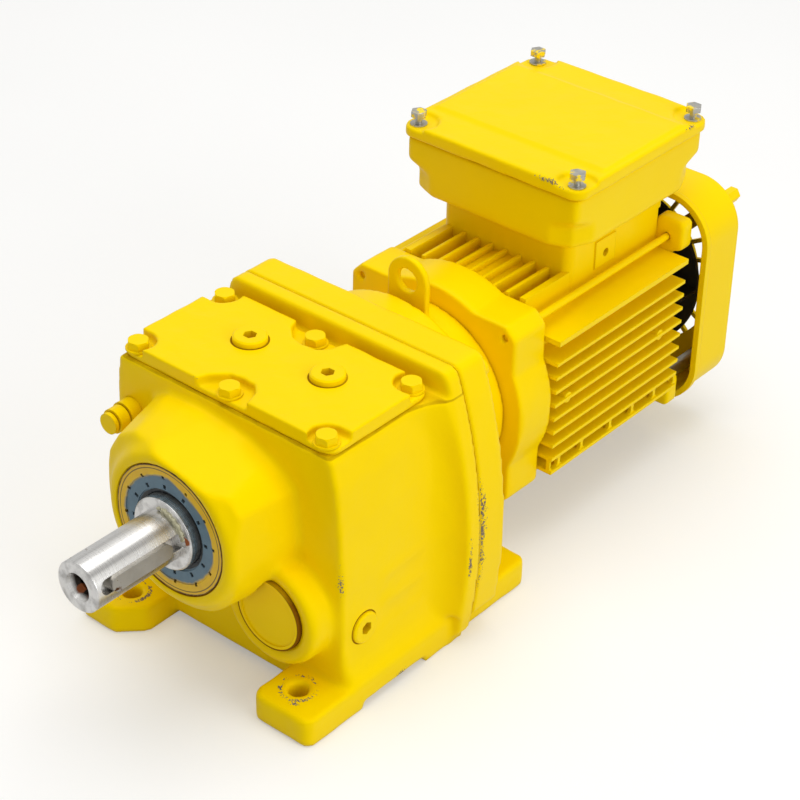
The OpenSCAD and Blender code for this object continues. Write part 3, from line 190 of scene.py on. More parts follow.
def corner_shade_and_joint_soiling(tree, place, open_sky, smear, slow, corner_shade, lines, hoops):
    """Painted shade where little sky is open, and soiling in flat bands (axis, place, half width) and in round
    ones (across, centre, radius, half width) that stay near their centre."""
    # painted shade: the corners are darkened towards brown where the ambient occlusion finds little open sky
    painted_corner_shade = put(tree, "ShaderNodeMapRange", {"Value": open_sky, "From Min": 0.62, "From Max": 0.18,
                 "To Min": 0.0, "To Max": corner_shade}).outputs[0]
    shade_and_soiling = put(tree, "ShaderNodeMath", {0: painted_corner_shade, 1: smear}, operation="MULTIPLY").outputs[0]
    xyz = put(tree, "ShaderNodeSeparateXYZ", {0: place}).outputs
    for axis, spot, half in lines:
        line = band(tree, xyz["XYZ".index(axis)], spot, half, 0.4, 0.9)
        line = put(tree, "ShaderNodeMath", {0: line, 1: smear}, operation="MULTIPLY").outputs[0]
        shade_and_soiling = put(tree, "ShaderNodeMath", {0: shade_and_soiling, 1: line}, operation="MAXIMUM").outputs[0]
    for across, centre, radius, half in hoops:
        hoop = band(tree, from_axis(tree, place, across, centre), radius, half)
        near = within(tree, place, centre, 1.45 * radius)
        hoop = put(tree, "ShaderNodeMath", {0: hoop, 1: near}, operation="MULTIPLY").outputs[0]
        part = put(tree, "ShaderNodeMapRange", {"Value": slow, "From Min": 0.36, "From Max": 0.50}).outputs[0]
        hoop = put(tree, "ShaderNodeMath", {0: hoop, 1: part}, operation="MULTIPLY").outputs[0]
        shade_and_soiling = put(tree, "ShaderNodeMath", {0: shade_and_soiling, 1: hoop}, operation="MAXIMUM").outputs[0]
    return shade_and_soiling


print("grime_and_painted_shade", GRIME_AND_SHADE, "is", [round(v, 3) for v in linear(GRIME_AND_SHADE)], "in linear light")

# %% [markdown]
# Chips have two sources. Handling wears the outer edges, wherever the sky is open and a patchy grit is
# high. Knocks and bolts do the rest: ragged spots at known places, and rings where a washer has bitten in.

# %% Chips of the enamel
def worn_edges(tree, place, soft, open_sky, patch, chips):
    """1 on ragged parts of the outer edges: the rounded normal soft leaves the true one there, the sky
    is open, and grit times patch is over a level that chips lowers."""
    true = put(tree, "ShaderNodeNewGeometry").outputs["Normal"]
    same = put(tree, "ShaderNodeVectorMath", {0: soft, 1: true}, operation="DOT_PRODUCT").outputs["Value"]
    edge = put(tree, "ShaderNodeMapRange", {"Value": same, "From Min": 0.95, "From Max": 0.78}).outputs[0]
    outer = put(tree, "ShaderNodeMapRange", {"Value": open_sky, "From Min": 0.86, "From Max": 0.96}).outputs[0]
    edge = put(tree, "ShaderNodeMath", {0: edge, 1: outer}, operation="MULTIPLY").outputs[0]
    grit = put(tree, "ShaderNodeTexNoise", {"Vector": place, "Scale": 420.0, "Detail": 5.0,
               "Roughness": 0.7}).outputs["Fac"]
    worn = put(tree, "ShaderNodeMath", {0: grit, 1: patch}, operation="MULTIPLY").outputs[0]
    worn = put(tree, "ShaderNodeMath", {0: worn, 1: edge}, operation="MULTIPLY").outputs[0]
    return put(tree, "ShaderNodeMapRange", {"Value": worn, "From Min": 0.43 - 0.12 * chips,
               "From Max": 0.45 - 0.12 * chips}).outputs[0]


def knocked_off(tree, place, bare, smear, spots, rings):
    """Adds to the mask bare: ragged spots (centre, reach along X, Y and Z), and rings (centre, near, far)
    between two radii about an upright axis, where a washer has bitten into the coat."""
    flake = put(tree, "ShaderNodeTexNoise", {"Vector": place, "Scale": 780.0, "Detail": 3.0,
                "Roughness": 0.6}).outputs["Fac"]
    specks = put(tree, "ShaderNodeMath", {0: smear, 1: 0.55, 2: flake}, operation="MULTIPLY_ADD").outputs[0]
    for centre, reach in spots:
        away = from_point(tree, place, centre, reach)
        hit = put(tree, "ShaderNodeMath", {0: away, 1: -0.26, 2: specks}, operation="MULTIPLY_ADD").outputs[0]
        hit = put(tree, "ShaderNodeMapRange", {"Value": hit, "From Min": 0.68, "From Max": 0.70}).outputs[0]
        bare = put(tree, "ShaderNodeMath", {0: bare, 1: hit}, operation="MAXIMUM").outputs[0]
    for centre, near, far in rings:
        away = from_axis(tree, place, ACROSS_Z, centre)
        hit = band(tree, away, (near + far) / 2, (far - near) * 0.8, 0.25)
        for factor in (within(tree, place, centre, 1.2 * far), flake, smear):
            hit = put(tree, "ShaderNodeMath", {0: hit, 1: factor}, operation="MULTIPLY").outputs[0]
        hit = put(tree, "ShaderNodeMapRange", {"Value": hit, "From Min": 0.275, "From Max": 0.285}).outputs[0]
        bare = put(tree, "ShaderNodeMath", {0: bare, 1: hit}, operation="MAXIMUM").outputs[0]
    return bare


print("a chip shows", PRIMER, "or", BARE_IRON)

# %% [markdown]
# With the masks at hand the enamel itself is short: colour from clean through painted shade and soiling to
# bare, gloss that falls where the painted shade, soiling or bare metal shows, and a height of three parts,
# worked in millimetres.

# %% Yellow enamel
def enamel(name, cast, round_mm, chips, corner_shade, spots=(), rings=(), lines=(), hoops=()):
    """Enamel: cast is the height of the casting's unevenness in mm, round_mm the radius of the edges,
    chips from 0 to 1 how worn they are, corner_shade from 0 to 1 how strong the painted shade in the inner
    corners is."""
    material, tree, shader, place = finish(name, roughness=0.34, ior=1.5)
    shader.inputs["Specular Tint"].default_value = linear("#FFC81E")
    shader.inputs["Specular IOR Level"].default_value = 0.17
    slow = put(tree, "ShaderNodeTexNoise", {"Vector": place, "Scale": 9.0, "Detail": 4.0}).outputs["Fac"]
    smear = put(tree, "ShaderNodeTexNoise", {"Vector": place, "Scale": 70.0, "Detail": 5.0,
                "Roughness": 0.6}).outputs["Fac"]
    patch = put(tree, "ShaderNodeTexNoise", {"Vector": place, "Scale": 26.0, "Detail": 2.0}).outputs["Fac"]
    open_sky = put(tree, "ShaderNodeAmbientOcclusion", {"Distance": 12 * MM}, samples=6).outputs["AO"]
    soft = put(tree, "ShaderNodeBevel", {"Radius": round_mm * MM}, samples=6).outputs[0]
    shade_and_soiling = corner_shade_and_joint_soiling(tree, place, open_sky, smear, slow, corner_shade, lines, hoops)
    bare = worn_edges(tree, place, soft, open_sky, patch, chips)
    bare = knocked_off(tree, place, bare, smear, spots, rings)
    coat = put(tree, "ShaderNodeMix", {"Factor": slow, 6: linear(ENAMEL_DEEP), 7: linear(ENAMEL)},
               data_type="RGBA").outputs[2]
    # painted shade in the inner corners and soiling along joints, mixed into the coat in one brown
    coat = put(tree, "ShaderNodeMix", {"Factor": shade_and_soiling, 6: coat, 7: linear(GRIME_AND_SHADE)},
               data_type="RGBA").outputs[2]
    under = put(tree, "ShaderNodeMix", {"Factor": patch, 6: linear(PRIMER), 7: linear(BARE_IRON)},
                data_type="RGBA").outputs[2]
    coat = put(tree, "ShaderNodeMix", {"Factor": bare, 6: coat, 7: under}, data_type="RGBA").outputs[2]
    tree.links.new(coat, shader.inputs["Base Color"])
    gloss = put(tree, "ShaderNodeMapRange", {"Value": smear, "To Min": 0.26, "To Max": 0.44}).outputs[0]
    gloss = put(tree, "ShaderNodeMath", {0: gloss, 1: shade_and_soiling}, operation="ADD").outputs[0]
    gloss = put(tree, "ShaderNodeMix", {0: bare, 2: gloss, 3: 0.72}, data_type="FLOAT").outputs[0]
    tree.links.new(gloss, shader.inputs["Roughness"])
    # height in mm: orange peel, casting unevenness, and the step down into a chip
    lumps = put(tree, "ShaderNodeTexNoise", {"Vector": place, "Scale": 75.0, "Detail": 3.0}).outputs["Fac"]
    peel = put(tree, "ShaderNodeTexNoise", {"Vector": place, "Scale": 620.0, "Detail": 2.0}).outputs["Fac"]
    height = put(tree, "ShaderNodeMath", {0: peel, 1: 0.05}, operation="MULTIPLY").outputs[0]
    height = put(tree, "ShaderNodeMath", {0: lumps, 1: cast, 2: height}, operation="MULTIPLY_ADD").outputs[0]
    height = put(tree, "ShaderNodeMath", {0: bare, 1: -0.15, 2: height}, operation="MULTIPLY_ADD").outputs[0]
    bump = put(tree, "ShaderNodeBump", {"Height": height, "Strength": 1.0, "Distance": MM, "Normal": soft})
    tree.links.new(bump.outputs[0], shader.inputs["Normal"])
    return material


print("enamel", ENAMEL, "is", [round(v, 3) for v in linear(ENAMEL)], "in linear light")

# %% [markdown]
# The same paint looks a little different on each base: rough iron lumps it, smooth die-cast aluminium
# shows it thin and even, and steel fasteners lose it first. The case carries the marks of its life:
# rings bitten in round the foot holes, a scuffed strip beside the flange's joint, a few knocks.

# %% Enamel on each base
SHAFT_Z = 0.127
MID_X, MID_Z = 0.0505, 0.0682
BOSS_FACE_Y, CAP_Y = -0.123, -0.090
FOOT_HOLES = [(x * 0.075, y * 0.0875, 0.021) for x in (-1, 1) for y in (-1, 1)]
LEVEL_PLUG = (0.097, -0.0485, 0.058)
FILLER_PLUGS = [(side * 0.033, -0.013, 0.2005) for side in (-1, 1)]
seam_scuffs = [((0.1135, 0.0445, 0.088), (0.006, 0.0046, 0.050)),
               ((0.114, 0.0445, 0.108), (0.006, 0.0060, 0.018)),
               ((0.1135, 0.0335, 0.073), (0.006, 0.0022, 0.020))]
case_paint = enamel("enamel_on_cast_iron", cast=0.4, round_mm=3.0, chips=0.1, corner_shade=0.35,
                    rings=[(spot, 0.0095, 0.0145) for spot in FOOT_HOLES],
                    hoops=[(ACROSS_Y, (0.0, BOSS_FACE_Y, SHAFT_Z), 0.0456, 0.0005),
                           (ACROSS_X, LEVEL_PLUG, 0.0116, 0.0006)],
                    spots=seam_scuffs + [((0.094, -0.069, 0.101), (0.003, 0.003, 0.012)),
                                         ((0.083, -0.1, 0.021), (0.0035, 0.0025, 0.003)),
                                         ((0.103, -0.02, 0.006), (0.004, 0.008, 0.004))],
                    lines=[("Z", 0.1895, 0.0009)])
adapter_paint = enamel("enamel_on_adapter_casting", cast=0.4, round_mm=2.5, chips=0.35, corner_shade=0.35,
                       spots=seam_scuffs)
cover_paint = enamel("enamel_on_cover_casting", cast=0.4, round_mm=1.6, chips=0.3, corner_shade=0.4,
                     hoops=[(ACROSS_Z, plug, 0.0121, 0.0008) for plug in FILLER_PLUGS],
                     spots=[((0.052, 0.185, 0.2655), (0.018, 0.004, 0.0024)),
                            ((0.0755, 0.316, 0.266), (0.004, 0.010, 0.0022)),
                            ((-0.010, -0.0665, 0.199), (0.020, 0.003, 0.0012))])
motor_paint = enamel("enamel_on_die_cast_aluminium", cast=0.18, round_mm=1.0, chips=0.35, corner_shade=0.45)
sheet_paint = enamel("enamel_on_pressed_sheet", cast=0.08, round_mm=1.2, chips=0.4, corner_shade=0.4)
bolt_paint = enamel("enamel_overspray_on_steel", cast=0.06, round_mm=0.7, chips=0.4, corner_shade=0.7)
joint_paint = enamel("enamel_over_gasket_edges", cast=0.1, round_mm=0.4, chips=0.2, corner_shade=0.5)
cap_paint = enamel("enamel_on_pressed_cap", cast=0.1, round_mm=0.8, chips=0.2, corner_shade=0.5,
                   hoops=[(ACROSS_Y, (MID_X, CAP_Y, MID_Z), 0.0256, 0.0009)])
print("enamel finishes:", [material.name for material in bpy.data.materials])

# %% [markdown]
# The shaft end was turned and ground, so light draws bright lines along it and fine rings round it. The
# rings are a noise squeezed along the axis, and the lines along it are painted reflections: long dark grey
# bands laid into the colour. The steel has stood in a store: dark specks and a little orange rust near the key
# are part of it, and the centre hole is darkened with painted shade.

# %% Ground and oxidised steel
def steel(name, light, dark, roughness, ring_axis=None, pitch_mm=0.5, specks=0.2, rust="#5B3A22",
          reflection_streaks=0.0, bore_shade=0.0, rusted=()):
    """Bare steel from light to dark; ring_axis squeezes the tool marks along that axis, pitch_mm apart,
    reflection_streaks from 0 to 1 is how strong the painted reflections are, dark grey bands that run along
    it, bore_shade is the radius of painted shade that darkens the centre hole about the output axis, and
    rusted are (centre, reach along X, Y and Z) in metres of places with loose orange rust."""
    material, tree, shader, place = finish(name, metallic=1.0, roughness=roughness)
    fine = 1 / (pitch_mm * MM)
    squeeze = [fine if ring_axis in (None, axis) else 12.0 for axis in range(3)]
    turned = put(tree, "ShaderNodeMapping", {"Vector": place, "Scale": squeeze}).outputs[0]
    marks = put(tree, "ShaderNodeTexNoise", {"Vector": turned, "Scale": 1.0, "Detail": 3.0}).outputs["Fac"]
    cloud = put(tree, "ShaderNodeTexNoise", {"Vector": place, "Scale": 55.0, "Detail": 6.0,
                "Roughness": 0.6}).outputs["Fac"]
    tone = put(tree, "ShaderNodeMix", {"Factor": cloud, 6: linear(dark), 7: linear(light)},
               data_type="RGBA").outputs[2]
    # painted reflections: dark grey bands along the Y axis stand in for the reflections on the turned steel
    if reflection_streaks:
        along = put(tree, "ShaderNodeMapping", {"Vector": place, "Scale": (150.0, 5.0, 150.0)}).outputs[0]
        painted_reflection = put(tree, "ShaderNodeTexNoise", {"Vector": along, "Scale": 1.0, "Detail": 5.0}).outputs["Fac"]
        painted_reflection = put(tree, "ShaderNodeMapRange", {"Value": painted_reflection, "From Min": 0.45, "From Max": 0.68,
                    "To Max": reflection_streaks}).outputs[0]
        tone = put(tree, "ShaderNodeMix", {"Factor": painted_reflection, 6: tone, 7: linear("#7C7976")},
                   data_type="RGBA").outputs[2]
    speck = put(tree, "ShaderNodeTexNoise", {"Vector": place, "Scale": 260.0, "Detail": 4.0}).outputs["Fac"]
    speck = put(tree, "ShaderNodeMath", {0: speck, 1: cloud}, operation="MULTIPLY").outputs[0]
    speck = put(tree, "ShaderNodeMapRange", {"Value": speck, "From Min": 0.44 - 0.12 * specks,
                "From Max": 0.48 - 0.12 * specks}).outputs[0]
    tone = put(tree, "ShaderNodeMix", {"Factor": speck, 6: tone, 7: linear(rust)},
               data_type="RGBA").outputs[2]
    # painted shade: the centre hole is darkened to near black
    if bore_shade:
        inside = band(tree, from_axis(tree, place, ACROSS_Y, (0.0, 0.0, SHAFT_Z)), 0.0, bore_shade, 0.8)
        tone = put(tree, "ShaderNodeMix", {"Factor": inside, 6: tone, 7: linear("#302B26")},
                   data_type="RGBA").outputs[2]
    for centre, reach in rusted:
        away = from_point(tree, place, centre, reach)
        crust = put(tree, "ShaderNodeMath", {0: away, 1: -0.5, 2: cloud}, operation="MULTIPLY_ADD").outputs[0]
        crust = put(tree, "ShaderNodeMapRange", {"Value": crust, "From Min": 0.0, "From Max": 0.12}).outputs[0]
        tone = put(tree, "ShaderNodeMix", {"Factor": crust, 6: tone, 7: linear("#A0541F")},
                   data_type="RGBA").outputs[2]
        speck = put(tree, "ShaderNodeMath", {0: speck, 1: crust}, operation="MAXIMUM").outputs[0]
    if rusted:
        metal = put(tree, "ShaderNodeMath", {0: 1.0, 1: speck}, operation="SUBTRACT").outputs[0]
        tree.links.new(metal, shader.inputs["Metallic"])
    tree.links.new(tone, shader.inputs["Base Color"])
    rough = put(tree, "ShaderNodeMapRange", {"Value": marks, "To Min": roughness * 0.75,
                "To Max": roughness * 1.3}).outputs[0]
    rough = put(tree, "ShaderNodeMath", {0: speck, 1: 0.4, 2: rough}, operation="MULTIPLY_ADD").outputs[0]
    tree.links.new(rough, shader.inputs["Roughness"])
    soft = put(tree, "ShaderNodeBevel", {"Radius": 0.5 * MM}, samples=4).outputs[0]
    bump = put(tree, "ShaderNodeBump", {"Height": marks, "Strength": 1.0, "Distance": 0.04 * MM,
               "Normal": soft}).outputs[0]
    tree.links.new(bump, shader.inputs["Normal"])
    return material


shaft_steel = steel("steel_turned_and_ground", "#F6F5F3", "#DDDBD7", 0.28, ring_axis=1, specks=0.3,
                    reflection_streaks=0.5, bore_shade=0.0088,
                    rusted=[((-0.003, -0.192, 0.1222), (0.004, 0.006, 0.0035)),
                            ((0.0195, -0.1285, 0.1315), (0.004, 0.002, 0.0035))])
key_steel = steel("key_steel_cold_drawn", "#B4B0A8", "#8C8880", 0.38, pitch_mm=1.2, specks=0.9)
gear_steel = steel("gear_steel_case_hardened", "#8C8C90", "#6A6A70", 0.3, ring_axis=1, pitch_mm=0.8, specks=0.1)
bearing_steel = steel("bearing_steel_polished", "#C9CACC", "#A7A8AC", 0.16, ring_axis=1, pitch_mm=0.6,
                      specks=0.0)
spring_steel = steel("spring_steel_phosphated", "#3C3C40", "#26262A", 0.45, pitch_mm=1.0, specks=0.2)
brass = steel("brass_turned", "#D9B25A", "#B98F3C", 0.3, ring_axis=2, pitch_mm=0.7, specks=0.1,
              rust="#5A4A1E")
print("finishes with the bare metals:", len(bpy.data.materials))

# %% [markdown]
# Zinc-plated bolts show a dull, cloudy grey. These were in the way of the spray gun too, so they keep
# flakes of the enamel: a noise mask lays the yellow over the zinc in uneven patches.

# %% Zinc plate with paint remains
def zinc(name, left):
    """Zinc plate; left from 0 to 1 is the share of the enamel that is still on it."""
    material, tree, shader, place = finish(name, roughness=0.4)
    cloud = put(tree, "ShaderNodeTexNoise", {"Vector": place, "Scale": 240.0, "Detail": 5.0}).outputs["Fac"]
    plate = put(tree, "ShaderNodeMix", {"Factor": cloud, 6: linear("#9C9A92"), 7: linear("#D6D4CC")},
                data_type="RGBA").outputs[2]
    flake = put(tree, "ShaderNodeTexNoise", {"Vector": place, "Scale": 130.0, "Detail": 6.0,
                "Roughness": 0.7}).outputs["Fac"]
    flake = put(tree, "ShaderNodeMapRange", {"Value": flake, "From Min": 0.68 - 0.4 * left,
                "From Max": 0.72 - 0.4 * left}).outputs[0]
    plate = put(tree, "ShaderNodeMix", {"Factor": flake, 6: plate, 7: linear(ENAMEL)},
                data_type="RGBA").outputs[2]
    tree.links.new(plate, shader.inputs["Base Color"])
    metal = put(tree, "ShaderNodeMath", {0: 1.0, 1: flake}, operation="SUBTRACT").outputs[0]
    tree.links.new(metal, shader.inputs["Metallic"])
    soft = put(tree, "ShaderNodeBevel", {"Radius": 0.6 * MM}, samples=4).outputs[0]
    rise = put(tree, "ShaderNodeMath", {0: cloud, 1: 0.3, 2: flake}, operation="MULTIPLY_ADD").outputs[0]
    bump = put(tree, "ShaderNodeBump", {"Height": rise, "Strength": 0.8, "Distance": 0.15 * MM, "Normal": soft})
    tree.links.new(bump.outputs[0], shader.inputs["Normal"])
    return material


zinc_clean = zinc("zinc_plated_steel", 0.0)
zinc_painted = zinc("zinc_plated_steel_with_paint", 0.36)
print("zinc finishes:", zinc_clean.name, zinc_painted.name)

# %% [markdown]
# Rubber, gasket sheet, moulded plastic, varnished copper and stacked laminations are all dull and dark.
# Each gets one pattern at its own scale: a pore, a fibre, a wire or a sheet's thickness.

# %% Dull materials
def dull(name, light, dark, roughness, grain_mm, depth_mm=0.05, metallic=0.0, bands=None):
    """A dull finish mottled at grain_mm and depth_mm deep; bands is (axis, pitch in mm)."""
    material, tree, shader, place = finish(name, metallic=metallic, roughness=roughness,
                                           ior=None if metallic else 1.5)
    scale = [1 / (grain_mm * MM)] * 3
    fitted = put(tree, "ShaderNodeMapping", {"Vector": place, "Scale": scale}).outputs[0]
    grain = put(tree, "ShaderNodeTexNoise", {"Vector": fitted, "Scale": 1.0, "Detail": 4.0}).outputs["Fac"]
    if bands:
        axis, pitch = bands
        # a band texture of scale 1 repeats every pi / 10 units
        wave = put(tree, "ShaderNodeTexWave", {"Vector": place, "Scale": math.pi / 10 / (pitch * MM),
                   "Distortion": 0.4, "Detail": 1.0}, wave_type="BANDS", bands_direction=axis).outputs["Fac"]
        grain = put(tree, "ShaderNodeMix", {0: 0.6, 2: grain, 3: wave}, data_type="FLOAT").outputs[0]
    tone = put(tree, "ShaderNodeMix", {"Factor": grain, 6: linear(dark), 7: linear(light)},
               data_type="RGBA").outputs[2]
    tree.links.new(tone, shader.inputs["Base Color"])
    rough = put(tree, "ShaderNodeMapRange", {"Value": grain, "To Min": roughness * 0.85,
                "To Max": min(1.0, roughness * 1.15)}).outputs[0]
    tree.links.new(rough, shader.inputs["Roughness"])
    bump = put(tree, "ShaderNodeBump", {"Height": grain, "Strength": 1.0, "Distance": depth_mm * MM})
    tree.links.new(bump.outputs[0], shader.inputs["Normal"])
    return material


foam_rubber = dull("cellular_rubber", "#2A2A2A", "#141414", 0.9, 0.9)
fan_plastic = dull("polyamide_glass_filled", "#2B2B2C", "#1A1A1B", 0.55, 2.0, depth_mm=0.03)
board_plastic = dull("thermoset_moulded", "#4B3224", "#2E1D14", 0.45, 1.2, depth_mm=0.02)
copper = dull("copper_wire_varnished", "#B4652F", "#7E3E1A", 0.35, 4.0, depth_mm=0.3, metallic=1.0,
              bands=("X", 1.6))
laminations = dull("electrical_sheet_stacked", "#5C5C60", "#37373B", 0.5, 3.0, depth_mm=0.1, metallic=1.0,
                   bands=("Y", 1.5))
lip_rubber = dull("nitrile_rubber", "#2A3238", "#161C20", 0.5, 1.0)
print("finishes with the dull ones:", len(bpy.data.materials))

# %% [markdown]
# The seal is pressed into the bore and was only half covered by the spray: its outer band is yellow, the
# middle is bare blue-grey steel, and the lip that rides on the shaft is dark rubber. The three are rings
# about the shaft's axis, so one distance from that axis, measured across it, chooses between them.

# %% Seal with its painted outer band
# rows of marks round the face: count, radius, half height, half width as a share of the pitch, strength;
# the first two rows are painted shade in the slots of the CAD ring, the third is a thin dark line nearly all
# round
SEAL_SLOT_SHADE_AND_LINE = [(12, 0.0310, 0.0016, 0.08, 1.0), (12, 0.0378, 0.0013, 0.06, 0.9), (1, 0.0426, 0.0004, 0.6, 0.75)]


def seal_finish():
    """Rings by radius about the shaft: rubber inside 28 mm, steel to about 37 mm, enamel outside, and the
    dark joint with the bore at 45 mm."""
    material, tree, shader, place = finish("seal_steel_case_with_rubber_lip", roughness=0.4, ior=1.5)
    radius = from_axis(tree, place, ACROSS_Y, (0.0, 0.0, SHAFT_Z))
    wobble = put(tree, "ShaderNodeTexNoise", {"Vector": place, "Scale": 160.0, "Detail": 5.0}).outputs["Fac"]
    drift = put(tree, "ShaderNodeTexNoise", {"Vector": place, "Scale": 38.0, "Detail": 5.0}).outputs["Fac"]
    ragged = put(tree, "ShaderNodeMath", {0: wobble, 1: 0.0016, 2: radius}, operation="MULTIPLY_ADD").outputs[0]
    sprayed = put(tree, "ShaderNodeMath", {0: drift, 1: 0.009, 2: ragged}, operation="MULTIPLY_ADD").outputs[0]
    on_steel, painted, joint = (
        put(tree, "ShaderNodeMapRange", {"Value": value, "From Min": low, "From Max": high}).outputs[0]
        for value, low, high in ((ragged, 0.0283, 0.0289), (sprayed, 0.0416, 0.0436), (ragged, 0.0449, 0.0455)))
    tone = put(tree, "ShaderNodeMix", {"Factor": wobble, 6: linear("#4E6878"), 7: linear("#6F8C9C")},
               data_type="RGBA").outputs[2]
    tone = put(tree, "ShaderNodeMix", {"Factor": on_steel, 6: linear("#232A2E"), 7: tone},
               data_type="RGBA").outputs[2]
    spray = put(tree, "ShaderNodeMix", {"Factor": wobble, 6: linear("#DDAA00"), 7: linear("#F7CD00")},
                data_type="RGBA").outputs[2]
    tone = put(tree, "ShaderNodeMix", {"Factor": painted, 6: tone, 7: spray}, data_type="RGBA").outputs[2]
    tone = put(tree, "ShaderNodeMix", {"Factor": joint, 6: tone, 7: linear("#54300F")},
               data_type="RGBA").outputs[2]
    # each row of marks starts 5 degrees on from the X axis
    xyz = put(tree, "ShaderNodeSeparateXYZ", {0: place}).outputs
    up = put(tree, "ShaderNodeMath", {0: xyz["Z"], 1: SHAFT_Z}, operation="SUBTRACT").outputs[0]
    turn = put(tree, "ShaderNodeMath", {0: up, 1: xyz["X"]}, operation="ARCTAN2").outputs[0]
    for count, middle, tall, wide, strength in SEAL_SLOT_SHADE_AND_LINE:
        cell = put(tree, "ShaderNodeMath", {0: turn, 1: count / math.tau, 2: -count * 5 / 360},
                   operation="MULTIPLY_ADD").outputs[0]
        cell = put(tree, "ShaderNodeMath", {0: cell, 1: 0.5}, operation="PINGPONG").outputs[0]
        beside = put(tree, "ShaderNodeMapRange", {"Value": cell, "From Min": wide, "From Max": wide * 0.8,
                     "To Max": strength}).outputs[0]
        slot_shade_and_line = put(tree, "ShaderNodeMath", {0: band(tree, radius, middle, tall, 0.8), 1: beside},
                   operation="MULTIPLY").outputs[0]
        # painted shade: near-black over the slots, and the thin dark line of the third row
        tone = put(tree, "ShaderNodeMix", {"Factor": slot_shade_and_line, 6: tone, 7: linear("#1C1A16")},
                   data_type="RGBA").outputs[2]
    tree.links.new(tone, shader.inputs["Base Color"])
    rough = put(tree, "ShaderNodeMapRange", {"Value": wobble, "To Min": 0.3, "To Max": 0.6}).outputs[0]
    tree.links.new(rough, shader.inputs["Roughness"])
    soft = put(tree, "ShaderNodeBevel", {"Radius": 0.5 * MM}, samples=4).outputs[0]
    bump = put(tree, "ShaderNodeBump", {"Height": wobble, "Strength": 1.0, "Distance": 0.15 * MM,
               "Normal": soft})
    tree.links.new(bump.outputs[0], shader.inputs["Normal"])
    return material


seal_face = seal_finish()
print("seal finish:", seal_face.name)

# %% [markdown]
# Now each CAD node gets its finish. The table reads like a parts list: what was sprayed after assembly
# is yellow, what lies inside keeps its own metal, rubber or plastic.

# %% Dress the CAD nodes
FINISH_OF = {
    case_paint: ["gear_case"],
    adapter_paint: ["motor_adapter", "lifting_eye"],
    cover_paint: ["top_cover", "box_lid"],
    motor_paint: ["drive_end_shield", "stator_housing", "rear_shield", "terminal_box"],
    sheet_paint: ["fan_guard"],
    cap_paint: ["intermediate_cap"],
    bolt_paint: ["cover_bolts", "filler_plugs", "level_plug", "breather", "rod_nuts", "entry_plugs",
                 "tie_rods", "adapter_screws", "shield_screws"],
    shaft_steel: ["output_shaft", "rotor_shaft", "shaft_sleeve"],
    key_steel: ["output_key", "wheel_key", "first_key", "pinion_key"],
    gear_steel: ["output_wheel", "pinion_shaft", "first_wheel", "motor_pinion"],
    bearing_steel: ["output_outer_rings", "intermediate_outer_rings", "motor_outer_rings", "output_inner_rings",
                    "output_front_balls", "output_rear_balls", "intermediate_inner_rings",
                    "intermediate_balls", "motor_inner_rings", "motor_balls"],
    spring_steel: ["bore_ring", "shaft_ring"],
    zinc_clean: ["guard_spacers", "box_screws"],
    zinc_painted: ["lid_bolts"],
    brass: ["terminal_studs", "earth_screw"],
    joint_paint: ["cover_gasket", "adapter_gasket"],
    foam_rubber: ["box_gasket"],
    lip_rubber: ["motor_shaft_seal"],
    seal_face: ["output_seal"],
    fan_plastic: ["fan"],
    board_plastic: ["terminal_board"],
    copper: ["stator_windings"],
    laminations: ["stator_core", "rotor_core"],
}
dressed = [name for names in FINISH_OF.values() for name in names]
for material, names in FINISH_OF.items():
    for name in names:
        nodes[name].data.materials.clear()
        nodes[name].data.materials.append(material)
print("dressed", len(dressed), "left bare:", sorted(set(nodes) - set(dressed)))

# %% [markdown]
# A sand casting has no sharp edge: every corner is a fillet, and thick enamel rounds it further. To get
# that from exact solids, the points of a fine grid are relaxed. One pass moves each point towards the mean
# of its neighbours and a smaller one pushes it back, so that edges melt and the body doesn't shrink.
# Machined places, such as the seal's bore, are held still. Slow waves stand for the uneven sand mould.

# %% Relaxing, waves and held places
def waves(points, length, seed):
    """The sum of nine sine waves of about the given length, each in its own direction, from -1 to 1."""
    draw = np.random.default_rng(seed)
    ways = draw.normal(size=(9, 3))
    ways *= (2 * np.pi / length / np.linalg.norm(ways, axis=1) * draw.uniform(0.6, 1.6, 9))[:, None]
    return np.sin(points @ ways.T + draw.uniform(0, 2 * np.pi, 9)).mean(1) * 1.8


def relax(points, edges, passes, free):
    """Each pass: p + 0.6 (mean of neighbours - p), then p - 0.25 (mean - p); free is 0 where p is held."""
    count = len(points)
    degree = np.bincount(edges.ravel(), minlength=count)[:, None]
    for step in range(passes * 2):
        share = 0.6 if step % 2 == 0 else -0.25
        total = np.stack([np.bincount(edges[:, 0], points[edges[:, 1], i], count)
                          + np.bincount(edges[:, 1], points[edges[:, 0], i], count) for i in range(3)], 1)
        points = points + share * free[:, None] * (total / degree - points)
    return points


def held(points, places, joints):
    """1 in the open and 0 within a radius of an axis; places are (point, axis letter, radius) in metres.
    joints are (axis letter, place) of flat faces that meet another piece, held to 1.5 mm from them."""
    free = np.ones(len(points))
    for axis, spot in joints:
        off = np.abs(points[:, "XYZ".index(axis)] - spot)
        free = np.minimum(free, np.clip((off - 0.0015) / 0.004, 0, 1))
    for point, axis, radius in places:
        across = [i for i in range(3) if i != "XYZ".index(axis)]
        away = np.linalg.norm((points - np.array(point))[:, across], axis=1)
        free = np.minimum(free, np.clip((away - radius) / 0.003, 0, 1))
    return free


sample = waves(np.linspace((0, 0, 0), (0.2, 0, 0), 200), 0.028, 1)
print("waves along 200 mm run from", sample.min().round(2), "to", sample.max().round(2))

# %% [markdown]
# Each skin starts as a copy of its CAD node. A voxel remesh cuts the copy into an even grid of small faces,
# and the points of the grid are relaxed and waved. The skin rides on the housing and is shown in the
# node's place. The grid's step follows the size of the casting, and so does the rounding of its edges.

